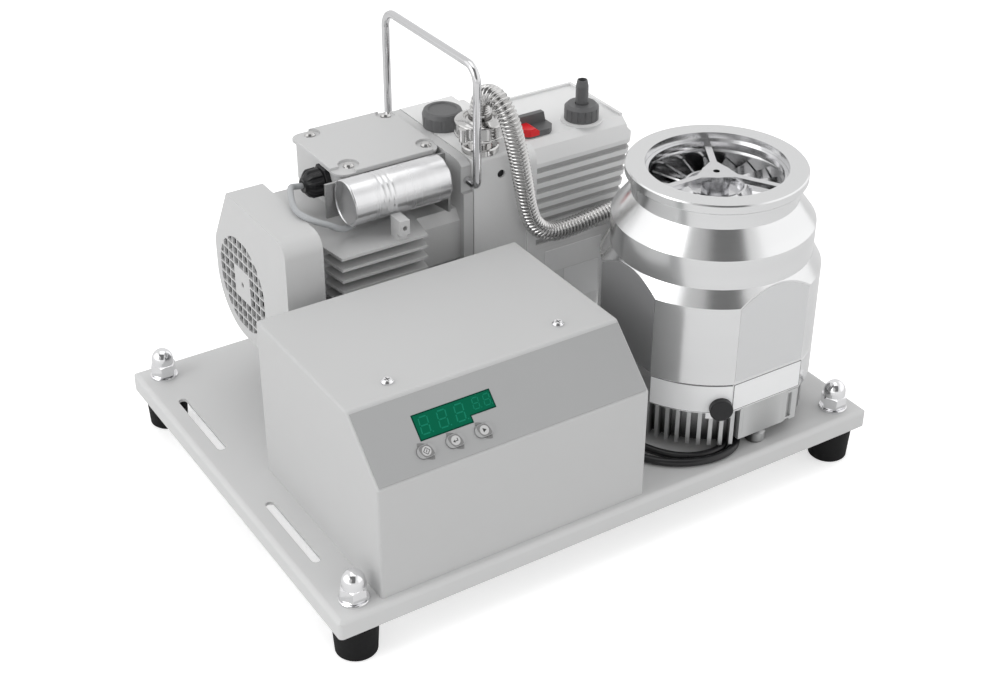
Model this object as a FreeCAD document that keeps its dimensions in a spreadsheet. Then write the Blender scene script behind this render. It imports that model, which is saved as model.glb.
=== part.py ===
import FreeCAD, Part
import math
import os
import re
import types
import Sketcher
from FreeCAD import Placement, Rotation, Vector

# Driving dimensions in millimetres: the origin is the plate's centre, on the floor

station = {
    "plateLength": 450, "plateDepth": 343, "plateTop": 42, "plateEdge": 14.6, "plateGauge": 2.5,
    "plateCorner": 3.2, "plateBend": 4, "slotLength": 76, "slotWidth": 6.4, "slotPitch": 150.2, "slotInset": 17,
    "slotShift": 3.6, "footInsetX": 19.5, "footInsetY": 16.5, "footTopRadius": 16, "footBaseRadius": 14.5, "footNeck": 12,
    "studRadius": 4.9, "studClear": 5.4, "studRise": 12, "washerRadius": 10.5, "washerThick": 2,
    "nutFlats": 17, "nutHexHeight": 10, "domeRadius": 8.2, "nutHeight": 21.5, "nutBore": 5,
}

controller = {
    "boxInset": 34.4, "boxWidth": 210, "boxFront": -165.3, "boxDepth": 166.3, "boxHeight": 124.3,
    "slopeDepth": 39.6, "slopeDrop": 37.7, "boxGauge": 1.5, "boxBend": 2.2, "boxFit": 0.2,
    "overlayInset": 2, "overlayLow": 1.5, "overlayLength": 50.3, "overlayThick": 0.8,
    "windowLeft": 41.3, "windowWidth": 57.3, "windowTall": 16.6, "windowLow": 21.6, "windowStep": 38,
    "windowNotch": 3.7, "windowLedge": 1.5, "windowFit": 0.15,
    "keyStart": 40.6, "keyPitch": 21.45, "keyLow": 13.7, "keyLength": 13, "keyWidth": 8.6, "keyProud": 1.3,
    "keyStem": 5, "keyLip": 1.2, "keyGap": 0.3, "keyFit": 0.25,
    "boardDrop": 7.2, "boardThick": 1.6, "boardInset": 10, "boardHeight": 44, "postRadius": 2.6,
    "screwSetback": 14.9, "screwInset": 38.9, "coverScrewHead": 4.2, "coverScrewTall": 2.4, "coverScrewStem": 1.9,
    "supplyLength": 110, "supplyDepth": 62, "supplyLift": 6, "coreSide": 46, "coreHeight": 38,
    "inletLeft": 28, "inletHeight": 62, "inletWidth": 28, "inletTall": 50, "inletDepth": 24, "inletFace": 3,
    "socketWidth": 24, "socketTall": 16.5, "socketDeep": 15, "rockerWidth": 19, "rockerTall": 13,
    "rockerDepth": 8, "rockerTilt": 8, "trunnionRadius": 1.5, "trunnionFit": 0.06, "rockerFit": 0.3,
    "linkLeft": 176, "linkHeight": 30,
}

turbo = {
    "turboX": 129.4, "turboY": -88, "turboLift": 7, "flangeRadius": 65, "flangeThick": 7.1, "boreRadius": 51,
    "boreDepth": 12.5, "boreStep": 1.1, "stepDepth": 9.7, "flangeTop": 238.5, "neckRadius": 60, "neckBase": 218, "waistRadius": 73.2,
    "waistTop": 200.5, "waistBase": 178, "bodyRadius": 80, "bodyTop": 166.5, "seamHeight": 104,
    "ringBase": 80, "flatDistance": 73.4, "flatTop": 178, "throatRadius": 51.3, "grooveRadius": 54, "grooveWidth": 3.2, "cavityRadius": 66, "cavityTop": 194,
    "throatBase": 202, "ringBore": 60, "finRadius": 75.8, "castingRadius": 68, "finCount": 60, "finSpace": 5,
    "finTop": 78, "padLeft": 22.5, "padRight": 31.4, "padBase": 53, "padDepth": 8, "padSlot": 22,
    "padSlotWide": 4.4, "footRadius": 8, "footSpread": 66, "footCrown": 54,
    "spiderThick": 3.5, "spiderDrop": 6, "armWidth": 5, "hubRadius": 11, "hubFlare": 8, "pivotRadius": 10, "pivotDrop": 15,
    "pivotHole": 2.4, "spiderRim": 3, "spiderFit": 0.1,
    "rotorTop": 223, "rotorBase": 122, "rotorHub": 26, "cupRadius": 20.5, "cupDepth": 7, "cupFloor": 18,
    "bladeTip": 50.3, "bladeCount": 20, "bladeChord": 15, "bladeThick": 1.3, "bladePitch": 38, "stageCount": 3,
    "stageTop": 214, "stageStep": 24, "stackBore": 51.6, "stackBase": 124, "stackTop": 193,
    "discBore": 28, "discThick": 3, "discDrop": 12, "turboShaft": 6, "shaftBase": 86, "shaftTop": 195,
    "runGap": 0.05, "turboBearing": 14, "bearingWidth": 8, "coilInner": 14, "coilOuter": 34, "coilBase": 96,
    "coilTop": 116, "deckThick": 4, "plugRadius": 8.4, "plugLength": 5, "plugAngle": -119, "plugHeight": 85,
    "plugStem": 3.5, "plugRoot": 8, "skirtDrop": 4.5, "skirtInner": 76, "portOffset": 20.6, "portHeight": 92, "portPipe": 8, "portBore": 6.5, "portLength": 20,
}

hose = {
    "kfRadius": 15, "kfThick": 3, "kfTaper": 2, "kfBore": 8, "ringOuter": 9.4, "oringRadius": 2.2, "ringInner": 7.2,
    "faceGap": 3.9, "clampRadius": 18.5, "clampWidth": 13, "clampFit": 0.15, "clampMouth": 12.3, "lugLength": 15,
    "lugWidth": 10, "lugThick": 9, "boltRadius": 2.4, "wingSpan": 22, "wingThick": 3, "wingTall": 9,
    "hoseRadius": 7.75, "collarRadius": 9, "collarLength": 5, "inletX": 25.8, "inletY": 61.1, "inletBase": 14.2,
    "inletBaseTall": 5, "inletPipe": 9, "inletRise": 14,
}

pump = {
    "pumpY": 101.8, "pumpZ": 134, "blockLeft": 11, "blockLength": 47, "blockHalf": 55.8, "blockTop": 215,
    "pumpBase": 47, "blockEdge": 3, "sideHole": 3.3, "sideHoleDepth": 14, "sideHoleX": 24, "sideHoleDrop": 16.6,
    "rimLength": 8, "rimHalf": 57.5, "rimTop": 212, "rimCorner": 12,
    "oilLength": 99, "oilHalf": 46.5, "oilTopHalf": 35.8, "oilTop": 208, "oilShoulder": 192, "oilMid": 203,
    "oilMidHalf": 41.8, "oilTopInset": 4.5, "oilEndStep": 4, "oilEndDrop": 7.5, "oilEndRise": 3.5,
    "oilEndRound": 6, "oilTaper": 27, "ribCount": 8, "ribPitch": 8.9, "ribTop": 188.5,
    "grooveHeight": 4.6, "grooveDepth": 3, "oilWall": 7, "oilRoof": 11.5,
    "statorRadius": 30, "rotorRadius": 25.9, "rotorOffset": 4, "rotorLength": 34, "rotorSetback": 6.5,
    "vaneThick": 3, "vaneDepth": 15, "vaneFit": 0.1, "endGap": 0.2,
    "fillerX": 23.8, "fillerY": 112.2, "fillerRadius": 16.2, "fillerLobe": 3.2, "fillerTall": 14, "fillerStem": 9, "fillerDepth": 12,
    "nozzleX": 128.7, "nozzleY": 76.6, "nutRadius": 13.5, "nutTall": 12.5, "barbRadius": 5, "barbTall": 19.5,
    "barbBore": 3.3, "barbTip": 3.9, "nozzleBoss": 16.5, "nozzleBossTall": 1.5, "nozzleFlange": 10,
    "nozzleFlangeTall": 3, "outletStem": 9, "outletDepth": 10,
    "leverX": 84, "leverY": 83, "leverRadius": 17.6, "leverTall": 4.7, "leverLength": 30, "leverWidth": 31,
    "fenceTall": 12.7, "fenceThick": 4.5, "fenceLength": 26, "gripTall": 7.2, "spindleRadius": 4,
    "spindleDepth": 9, "leverLift": 0.3, "sightRadius": 15, "sightGlass": 11, "sightProud": 3, "sightHeight": 100,
    "sightSink": 3, "padRadius": 9,
}

motor = {
    "motorLeft": -126.5, "motorEnd": 2, "coverLeft": -156, "coverWall": 2, "coverFront": 78.3, "coverBack": 44.5,
    "coverRise": 69, "coverDrop": 45.5, "coverTopBack": 16.2, "coverShoulder": 20, "coverEdge": 12,
    "coverRound": 42, "grilleRadius": 37.5, "grillePitch": 8.3, "grilleHole": 7, "grilleBlank": 16, "blankCorner": 26,
    "coverHole": 2, "shellRadius": 43, "shellBore": 40.2, "endWall": 4, "finReach": 74, "finGap": 9.1,
    "finPlate": 2.2, "finFirst": 176.5, "frontFins": 9, "backReach": 44, "finRootLeft": -121, "finRootRight": -26,
    "finTipLeft": -110, "finTipRight": -40, "saddleFront": 52, "saddleTop": 174, "boxSeat": 40,
    "motorShaft": 7, "stubRadius": 5, "coreRadius": 26.6, "coreLeft": -95, "coreRight": -40, "windingInner": 27.2,
    "bearingOuter": 15, "motorBearingWidth": 8, "flangeEdge": 4, "flangeCorner": 12, "seamGap": 1, "seamDepth": 1.5,
    "lugX": -59.4, "lugSide": 8, "lugReach": 75.8, "lugDepth": 9, "lugTop": 194.4, "lugTall": 11.4, "lugStep": 5,
    "lugHole": 1.8,
    "fanHub": 10, "fanTip": 36, "fanBlades": 7, "fanWidth": 14, "fanThick": 2, "fanLeft": -149,
    "boxWest": -84, "boxEast": 1.7, "boxSouth": 78, "boxNorth": 155, "boxLidBase": 213.5, "lidTop": 217,
    "lidCorner": 10, "boxSkin": 2.5, "lidRecess": 2, "recessRadius": 8, "lidPitchX": 65.5, "lidPitchY": 61.6, "lidEdge": 2, "lidScrewHead": 4.3,
    "lidScrewTall": 2.2, "lidScrewStem": 2, "lidScrewDepth": 9, "lidMidX": -38.2, "lidMidY": 118.6,
    "glandY": 100.5, "glandZ": 202.2, "glandFlats": 22, "glandLength": 11, "glandNeck": 9, "glandTip": 5.5,
    "glandSeat": 3, "capRadius": 17.45, "capLeft": -92, "capRight": -12, "capY": 55, "capZ": 204.7, "capStud": 4, "capEdge": 1.5,
    "bracketGauge": 2, "bracketLeft": -98, "bracketBase": 186, "bracketTop": 213.2, "bracketFront": 45,
    "wireRadius": 2.3, "handleX": 7.3, "handleHalf": 66.4, "handleTop": 293, "rodRadius": 3.1, "handleBend": 13,
    "handleFoot": 199, "footBend": 6, "socketDepth": 12, "notchDepth": 4, "notchLow": 190, "notchTop": 211,
}

cords = {"cableRadius": 3, "plugBody": 5.5, "plugTail": 17, "nestX": 106.4, "nestY": -120, "linkDepth": 14}

controller["boxLeft"] = controller["boxInset"] - station["plateLength"] / 2

driving = {}
for sizes in (station, controller, turbo, hose, pump, motor, cords):
    driving.update(sizes)
S = types.SimpleNamespace(**driving)

doc = FreeCAD.newDocument("PumpingStation")
sheet = doc.addObject("Spreadsheet::Sheet", "Sizes")
for line, (alias, value) in enumerate(driving.items(), start=1):
    sheet.set(f"A{line}", alias)
    sheet.set(f"B{line}", str(value))
    sheet.setAlias(f"B{line}", alias)
doc.recompute()

nodes = []
axisTurns = {
    "Z": Rotation(),
    "X": Rotation(Vector(0, 1, 0), 90),
    "-X": Rotation(Vector(0, 1, 0), -90),
    "Y": Rotation(Vector(1, 0, 0), -90),
}


# Helpers: expressions, primitives, sketches and turned parts

def linked(text):
    return re.sub(r"[A-Za-z_]\w*", lambda word: "Sizes." + word.group(0) if word.group(0) in driving
                  else word.group(0), text)


def bind(item, **sizes):
    for name, text in sizes.items():
        item.setExpression(name, linked(text))


def put(item, x="0", y="0", z="0", turn=Rotation()):
    item.Placement = Placement(Vector(), turn)
    for axis, text in zip("xyz", (x, y, z)):
        item.setExpression("Placement.Base." + axis, linked(text))
    return item


def cylinder(name, radius, height, x="0", y="0", z="0", axis="Z"):
    item = doc.addObject("Part::Cylinder", name)
    bind(item, Radius=radius, Height=height)
    return put(item, x, y, z, axisTurns[axis])


def cone(name, lower, upper, height, x="0", y="0", z="0", axis="Z"):
    item = doc.addObject("Part::Cone", name)
    bind(item, Radius1=lower, Radius2=upper, Height=height)
    return put(item, x, y, z, axisTurns[axis])


def block(name, length, width, height, x="0", y="0", z="0"):
    item = doc.addObject("Part::Box", name)
    bind(item, Length=length, Width=width, Height=height)
    return put(item, x, y, z)


def group(name, items):
    item = doc.addObject("Part::Compound", name)
    item.Links = items
    return item


def joined(name, *items):
    item = doc.addObject("Part::MultiFuse", name)
    item.Shapes = list(items)
    item.Refine = True
    return item


def cut(name, base, *tools):
    item = doc.addObject("Part::Cut", name)
    item.Base = base
    item.Tool = tools[0] if len(tools) == 1 else group(name + "Tools", list(tools))
    item.Refine = True
    return item


def common(name, first, second):
    item = doc.addObject("Part::Common", name)
    item.Base = first
    item.Tool = second
    item.Refine = True
    return item


def solid(name, shape):
    item = doc.addObject("Part::Feature", name)
    item.Shape = shape
    return item


def outline(body, role, corners, lift="0"):
    """Closed polygon whose every corner is held by expressions."""
    sketch = body.newObject("Sketcher::SketchObject", body.Name + "Sketch")
    plane = next(item for item in body.Origin.OriginFeatures if item.Role == role)
    sketch.AttachmentSupport = [(plane, "")]
    sketch.MapMode = "FlatFace"
    sketch.setExpression("AttachmentOffset.Base.z", linked(lift))
    count = len(corners)
    ring = [Vector(100 * math.cos(2 * math.pi * k / count), 100 * math.sin(2 * math.pi * k / count), 0)
            for k in range(count)]
    for k in range(count):
        sketch.addGeometry(Part.LineSegment(ring[k], ring[(k + 1) % count]), False)
    for k in range(count):
        sketch.addConstraint(Sketcher.Constraint("Coincident", k, 2, (k + 1) % count, 1))
    for k, (across, up) in enumerate(corners):
        for kind, text, start in (("DistanceX", across, ring[k].x), ("DistanceY", up, ring[k].y)):
            held = sketch.addConstraint(Sketcher.Constraint(kind, -1, 1, k, 1, start))
            sketch.setExpression(f"Constraints[{held}]", linked(text))
    return sketch


def revolved(name, corners, x="0", y="0", z="0", axis="Z"):
    """Turned part: corners are radius and height along the axis."""
    body = doc.addObject("PartDesign::Body", name)
    sketch = outline(body, "XZ_Plane", corners)
    turn = body.newObject("PartDesign::Revolution", name + "Turn")
    turn.Profile = sketch
    turn.ReferenceAxis = (sketch, ["V_Axis"])
    turn.Angle = 360
    return put(body, x, y, z, axisTurns[axis])


def prism(name, role, corners, start, length):
    """Polygon carried from start over length along the plane's normal axis."""
    body = doc.addObject("PartDesign::Body", name)
    flipped = role == "XZ_Plane"
    sketch = outline(body, role, corners, f"-({start})" if flipped else start)
    pad = body.newObject("PartDesign::Pad", name + "Pad")
    pad.Profile = sketch
    pad.Reversed = flipped
    bind(pad, Length=length)
    return body


def rounded(body, name, radius, chosen):
    """Fillet on the tip's edges whose middle point passes the test."""
    doc.recompute()
    tip = body.Tip
    edges = [f"Edge{k}" for k, edge in enumerate(tip.Shape.Edges, start=1) if chosen(edge)]
    fillet = body.newObject("PartDesign::Fillet", name)
    fillet.Base = (tip, edges)
    bind(fillet, Radius=radius)
    body.Tip = fillet
    return body


def alongAxis(edge, axis):
    ends = edge.Vertexes
    if len(ends) != 2:
        return False
    run = ends[1].Point - ends[0].Point
    return abs(abs(run.dot(axis)) - run.Length) < 1e-6


def middle(edge):
    return edge.valueAt((edge.FirstParameter + edge.LastParameter) / 2)


def hexagon(name, flats, height, x="0", y="0", z="0", axis="Z"):
    item = doc.addObject("Part::Prism", name)
    item.Polygon = 6
    bind(item, Circumradius=f"({flats}) / sqrt(3)", Height=height)
    return put(item, x, y, z, axisTurns[axis])


def copies(name, pattern, spots):
    """Group of identical solids: the pattern stands at the first frame and is repeated at each spot."""
    doc.recompute()
    shapes = []
    for spot in spots:
        shape = pattern.Shape.copy()
        shape.Placement = spot.multiply(shape.Placement)
        shapes.append(shape)
    return solid(name, Part.makeCompound(shapes))


def piece(item, label):
    item.Label = label
    nodes.append(item)
    return item


def spun(k, count):
    return Rotation(Vector(0, 0, 1), 360.0 * k / count)


def tubeAlong(points, radius):
    """Round tube along straight runs joined by tangent arcs; also gives the arcs' radii."""
    spots = [Vector(*point) for point in points]
    edges, radii = [], []
    here = spots[0]
    for before, corner, after in zip(spots, spots[1:], spots[2:]):
        arriving = (corner - before).normalize()
        leaving = (after - corner).normalize()
        turn = arriving.getAngle(leaving)
        reach = 0.45 * min((corner - before).Length, (after - corner).Length)
        start = corner - arriving * reach
        stop = corner + leaving * reach
        bend = reach / math.tan(turn / 2)
        inward = (leaving - arriving).normalize()
        crown = corner + inward * (bend / math.cos(turn / 2) - bend)
        edges.append(Part.LineSegment(here, start).toShape())
        edges.append(Part.Arc(start, crown, stop).toShape())
        radii.append(bend)
        here = stop
    edges.append(Part.LineSegment(here, spots[-1]).toShape())
    path = Part.Wire(edges)
    first = (spots[1] - spots[0]).normalize()
    ring = Part.Wire([Part.Circle(spots[0], first, radius).toShape()])
    shell = path.makePipeShell([ring], True, False)
    return shell, path.Length, radii


# Base plate, feet and their nuts

def plateForm(name, inset, drop, corner, bend):
    """Pan form: a plan with tight corners, crossed with both side views, whose upper corners carry the bend."""
    wide, deep = f"(plateLength / 2 - {inset})", f"(plateDepth / 2 - {inset})"
    low, top = f"plateTop - plateEdge - {drop}", f"plateTop - {inset}"
    plan = prism(name + "Plan", "XY_Plane", [(f"-{wide}", f"-{deep}"), (wide, f"-{deep}"), (wide, deep),
                                             (f"-{wide}", deep)], low, f"plateEdge + {drop} - {inset}")
    upright = Vector(0, 0, 1)
    rounded(plan, name + "Corners", corner, lambda edge: alongAxis(edge, upright))
    sheet = plan
    for view, half, depth, across in (("XZ", wide, deep, Vector(0, 1, 0)), ("YZ", deep, wide, Vector(1, 0, 0))):
        side = prism(name + view, view + "_Plane", [(f"-{half}", low), (half, low), (half, top), (f"-{half}", top)],
                     f"-{depth} - 1", f"2 * {depth} + 2")
        rounded(side, name + view + "Bend", bend,
                lambda edge: alongAxis(edge, across) and middle(edge).z > S.plateTop - S.plateGauge - 0.5)
        sheet = common(name + view + "Sheet", sheet, side)
    return sheet


def buildPlate():
    tray = plateForm("Tray", "0", "0", "plateCorner", "plateBend")
    hollow = plateForm("Hollow", "plateGauge", "1", "plateCorner - plateGauge", "plateBend - plateGauge")
    tools = [hollow]
    for sign in (-1, 1):
        middleY = f"slotShift + {sign} * slotPitch / 2"
        straight = block("SlotMiddle", "slotWidth", "slotLength - slotWidth", "3 * plateGauge",
                         "slotInset - plateLength / 2 - slotWidth / 2",
                         f"{middleY} - (slotLength - slotWidth) / 2", "plateTop - 2 * plateGauge")
        ends = [cylinder("SlotEnd", "slotWidth / 2", "3 * plateGauge", "slotInset - plateLength / 2",
                         f"{middleY} + {end} * (slotLength - slotWidth) / 2", "plateTop - 2 * plateGauge")
                for end in (-1, 1)]
        tools.append(joined("Slot", straight, *ends))
    for a in (-1, 1):
        for b in (-1, 1):
            tools.append(cylinder("StudHole", "studClear", "3 * plateGauge",
                                  f"{a} * (plateLength / 2 - footInsetX)",
                                  f"{b} * (plateDepth / 2 - footInsetY)", "plateTop - 2 * plateGauge"))
    piece(cut("BasePlate", tray, *tools), "base_plate")


def footSpots():
    across = S.plateLength / 2 - S.footInsetX
    deep = S.plateDepth / 2 - S.footInsetY
    return [Placement(Vector(a * across, b * deep, 0), Rotation()) for a in (-1, 1) for b in (-1, 1)]


def buildFeet():
    rubber = revolved("FootTurn", [("0", "0"), ("footBaseRadius - 1", "0"), ("footBaseRadius", "1"),
                                   ("footTopRadius", "plateTop - plateEdge - 1.5"),
                                   ("footTopRadius - 1", "plateTop - plateEdge - 0.5"),
                                   ("footNeck", "plateTop - plateEdge - 0.5"),
                                   ("footNeck", "plateTop - plateGauge"),
                                   ("studRadius", "plateTop - plateGauge"),
                                   ("studRadius", "plateTop + studRise"), ("0", "plateTop + studRise")])
    piece(copies("Feet", rubber, footSpots()), "rubber_feet")
    washer = revolved("WasherTurn", [("studClear", "plateTop"), ("washerRadius", "plateTop"),
                                     ("washerRadius", "plateTop + washerThick * 0.8"),
                                     ("washerRadius - 0.4", "plateTop + washerThick"),
                                     ("studClear", "plateTop + washerThick")])
    piece(copies("Washers", washer, footSpots()), "foot_washers")
    base = "plateTop + washerThick"
    hexed = hexagon("NutHex", "nutFlats", "nutHexHeight", z=base)
    trim = revolved("NutTrim", [("0", base), ("nutFlats / 2 - 0.6", base), ("nutFlats / 2 + 1.6", f"{base} + 1.2"),
                                ("nutFlats / 2 + 1.6", f"{base} + nutHexHeight - 1.2"),
                                ("nutFlats / 2 - 0.6", f"{base} + nutHexHeight"), ("0", f"{base} + nutHexHeight")])
    collar = cylinder("NutCollar", "domeRadius", "nutHeight - domeRadius", z=base)
    crown = doc.addObject("Part::Sphere", "NutCrown")
    bind(crown, Radius="domeRadius")
    put(crown, z=f"{base} + nutHeight - domeRadius")
    crownOnly = common("NutDome", crown, cylinder("NutDomeLimit", "domeRadius + 1", "domeRadius + 1",
                                                  z=f"{base} + nutHeight - domeRadius"))
    body = joined("NutBody", common("NutFaces", hexed, trim), collar, crownOnly)
    nut = cut("Nut", body, cylinder("NutThread", "nutBore", "studRise", z=base))
    piece(copies("DomeNuts", nut, footSpots()), "dome_nuts")


# Controller: folded cover over a chassis, with a sloping front panel

slopeAngle = math.degrees(math.atan2(S.slopeDrop, S.slopeDepth))
slopeTurn = Rotation(Vector(1, 0, 0), slopeAngle)


def onSlope(item):
    """Moves a piece drawn flat (x along the panel, y up it, z outwards) onto the sloping panel."""
    inner = item.Placement
    base = Placement(Vector(S.boxLeft, S.boxFront, S.plateTop + S.boxHeight - S.slopeDrop), slopeTurn)
    item.Placement = base.multiply(inner)
    return item


def slopePrism(name, corners, start, length):
    body = prism(name, "XY_Plane", corners, start, length)
    item = doc.addObject("Part::Feature", name + "Set")
    doc.recompute()
    item.Shape = body.Shape
    return onSlope(item)


def windowCorners(grow):
    right = "windowLeft + windowWidth"
    top = "windowLow + windowTall"
    return [(f"windowLeft - ({grow})", f"windowLow - ({grow})"),
            (f"windowLeft + windowStep + ({grow})", f"windowLow - ({grow})"),
            (f"windowLeft + windowStep + ({grow})", f"windowLow + windowNotch - ({grow})"),
            (f"{right} + ({grow})", f"windowLow + windowNotch - ({grow})"),
            (f"{right} + ({grow})", f"{top} + ({grow})"), (f"windowLeft - ({grow})", f"{top} + ({grow})")]


def ovalOnSlope(name, index, grow, start, length):
    """Oval key outline: a rectangle with round ends."""
    reach = S.keyLength / 2 + grow
    wide = S.keyWidth / 2 + grow
    flat = reach - wide
    places = (Vector(-flat, -wide, 0), Vector(flat, -wide, 0), Vector(flat + wide, 0, 0), Vector(flat, wide, 0),
              Vector(-flat, wide, 0), Vector(-flat - wide, 0, 0))
    edges = [Part.LineSegment(places[0], places[1]).toShape(),
             Part.Arc(places[1], places[2], places[3]).toShape(),
             Part.LineSegment(places[3], places[4]).toShape(),
             Part.Arc(places[4], places[5], places[0]).toShape()]
    shape = Part.Face(Part.Wire(edges)).extrude(Vector(0, 0, length))
    shape.translate(Vector(S.keyStart + index * S.keyPitch, S.keyLow, start))
    return onSlope(solid(name, shape))


def buildController():
    back = "boxFront + boxDepth"
    top = "plateTop + boxHeight"
    gauge = "boxGauge"
    outer = [("boxFront", "plateTop"), (back, "plateTop"), (back, top), ("boxFront + slopeDepth", top),
             ("boxFront", f"{top} - slopeDrop")]
    shell = prism("CoverOuter", "YZ_Plane", outer, "boxLeft", "boxWidth")
    length = Vector(1, 0, 0)
    rounded(shell, "CoverBends", "boxBend",
            lambda edge: middle(edge).z > S.plateTop + 1 and middle(edge).y < S.boxFront + S.boxDepth - 1)
    inner = [("boxFront + boxGauge", "plateTop - 1"), (f"{back} + 1", "plateTop - 1"),
             (f"{back} + 1", f"{top} - boxGauge"),
             ("boxFront + slopeDepth + boxGauge * 0.4", f"{top} - boxGauge"),
             ("boxFront + boxGauge", f"{top} - slopeDrop - boxGauge * 0.4")]
    hollow = prism("CoverInner", "YZ_Plane", inner, "boxLeft + boxGauge", "boxWidth - 2 * boxGauge")
    window = slopePrism("CoverWindow", windowCorners("-windowLedge"), "-3", "5")
    keyHoles = [ovalOnSlope("CoverKeyHole", k, S.keyFit, -3, 5) for k in range(3)]
    screwHoles = [cylinder("CoverScrewHole", "coverScrewStem + 0.2", "6", f"boxLeft + boxWidth / 2 + {sign} * "
                           "(boxWidth / 2 - screwInset)", "boxFront + slopeDepth + screwSetback", f"{top} - 4")
                  for sign in (-1, 1)]
    piece(cut("ControllerCover", shell, hollow, window, *keyHoles, *screwHoles), "controller_cover")

    floor = block("ChassisFloor", "boxWidth - 2 * boxGauge - 2 * boxFit",
                  "boxDepth - boxGauge - boxFit", gauge, "boxLeft + boxGauge + boxFit",
                  "boxFront + boxGauge + boxFit", "plateTop")
    rear = block("ChassisRear", "boxWidth - 2 * boxGauge - 2 * boxFit", gauge,
                 "boxHeight - boxGauge - boxFit", "boxLeft + boxGauge + boxFit", f"{back} - boxGauge", "plateTop")
    flange = block("ChassisFlange", "boxWidth - 2 * boxGauge - 2 * boxFit", "boxDepth - slopeDepth - 8", gauge,
                   "boxLeft + boxGauge + boxFit", "boxFront + slopeDepth + 8", f"{top} - 2 * boxGauge - boxFit")
    inletHole = block("InletHole", "inletWidth", "boxGauge + 2", "inletTall", "boxLeft + inletLeft",
                      f"{back} - boxGauge - 1", "plateTop + inletHeight - inletTall / 2")
    linkHole = cylinder("LinkHole", "plugBody - 1", "boxGauge + 2", "boxLeft + linkLeft", f"{back} - boxGauge - 1",
                        "plateTop + linkHeight", "Y")
    stemHoles = [cylinder("FlangeScrewHole", "coverScrewStem + 0.05", "6", f"boxLeft + boxWidth / 2 + {sign} * "
                          "(boxWidth / 2 - screwInset)", "boxFront + slopeDepth + screwSetback", f"{top} - 6")
                 for sign in (-1, 1)]
    opening = block("ChassisOpening", "boxWidth - 60", "boxDepth - slopeDepth - 60", "6", "boxLeft + 30",
                    "boxFront + slopeDepth + 36", f"{top} - 6")
    piece(cut("ControllerChassis", joined("ChassisSheet", floor, rear, flange), inletHole, linkHole, opening,
              *stemHoles), "controller_chassis")

    overlay = prism("OverlaySheet", "XY_Plane",
                    [("overlayInset", "overlayLow"), ("boxWidth - overlayInset", "overlayLow"),
                     ("boxWidth - overlayInset", "overlayLow + overlayLength"),
                     ("overlayInset", "overlayLow + overlayLength")], "0", "overlayThick")
    doc.recompute()
    overlaySet = onSlope(solid("OverlaySet", overlay.Shape))
    windowCut = slopePrism("OverlayWindow", windowCorners("0"), "-1", "4")
    keyCuts = [ovalOnSlope("OverlayKeyHole", k, S.keyFit, -1, 4) for k in range(3)]
    piece(cut("PanelOverlay", overlaySet, windowCut, *keyCuts), "panel_overlay")
    piece(slopePrism("DisplayWindow", windowCorners("-windowFit"), "0", "overlayThick + 0.1"), "display_window")

    board = slopePrism("BoardSheet", [("boardInset", "6"), ("boxWidth - boardInset", "6"),
                                      ("boxWidth - boardInset", "6 + boardHeight"),
                                      ("boardInset", "6 + boardHeight")], "-boardDrop - boardThick", "boardThick")
    glow = slopePrism("DisplayBlock", [("windowLeft - 1", "windowLow - 1"),
                                       ("windowLeft + windowWidth + 1", "windowLow - 1"),
                                       ("windowLeft + windowWidth + 1", "windowLow + windowTall + 1"),
                                       ("windowLeft - 1", "windowLow + windowTall + 1")],
                      "-boardDrop", "boardDrop - boxGauge - 0.4")
    posts = []
    for a in (S.boardInset + 4, S.boxWidth - S.boardInset - 4):
        for b in (10, 45):
            post = Part.makeCylinder(S.postRadius, S.boardDrop - S.boxGauge, Vector(a, b, -S.boardDrop))
            posts.append(onSlope(solid("BoardPost", post)))
    piece(joined("ControlBoard", board, glow, *posts), "control_board")

    for k, label in enumerate(("start_button", "enter_button", "cycle_button")):
        cap = ovalOnSlope(label + "Cap", k, 0, -S.keyStem, S.keyStem + S.overlayThick + S.keyProud)
        lip = ovalOnSlope(label + "Lip", k, S.keyLip, -S.boxGauge - S.keyGap - 1, 1)
        piece(joined(label + "Joined", cap, lip), label)

    head = revolved("CoverScrewTurn", [("0", top), ("coverScrewHead", top), ("coverScrewHead", f"{top} + 1"),
                                       ("coverScrewHead - 1.4", f"{top} + coverScrewTall"),
                                       ("0", f"{top} + coverScrewTall")])
    stem = cylinder("CoverScrewStem", "coverScrewStem", "8", z=f"{top} - 7.5")
    middleX = S.boxLeft + S.boxWidth / 2
    reach = S.boxWidth / 2 - S.screwInset
    depth = S.boxFront + S.slopeDepth + S.screwSetback
    piece(copies("CoverScrews", joined("CoverScrew", head, stem),
                 [Placement(Vector(middleX + sign * reach, depth, 0), Rotation()) for sign in (-1, 1)]),
          "cover_screws")


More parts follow.
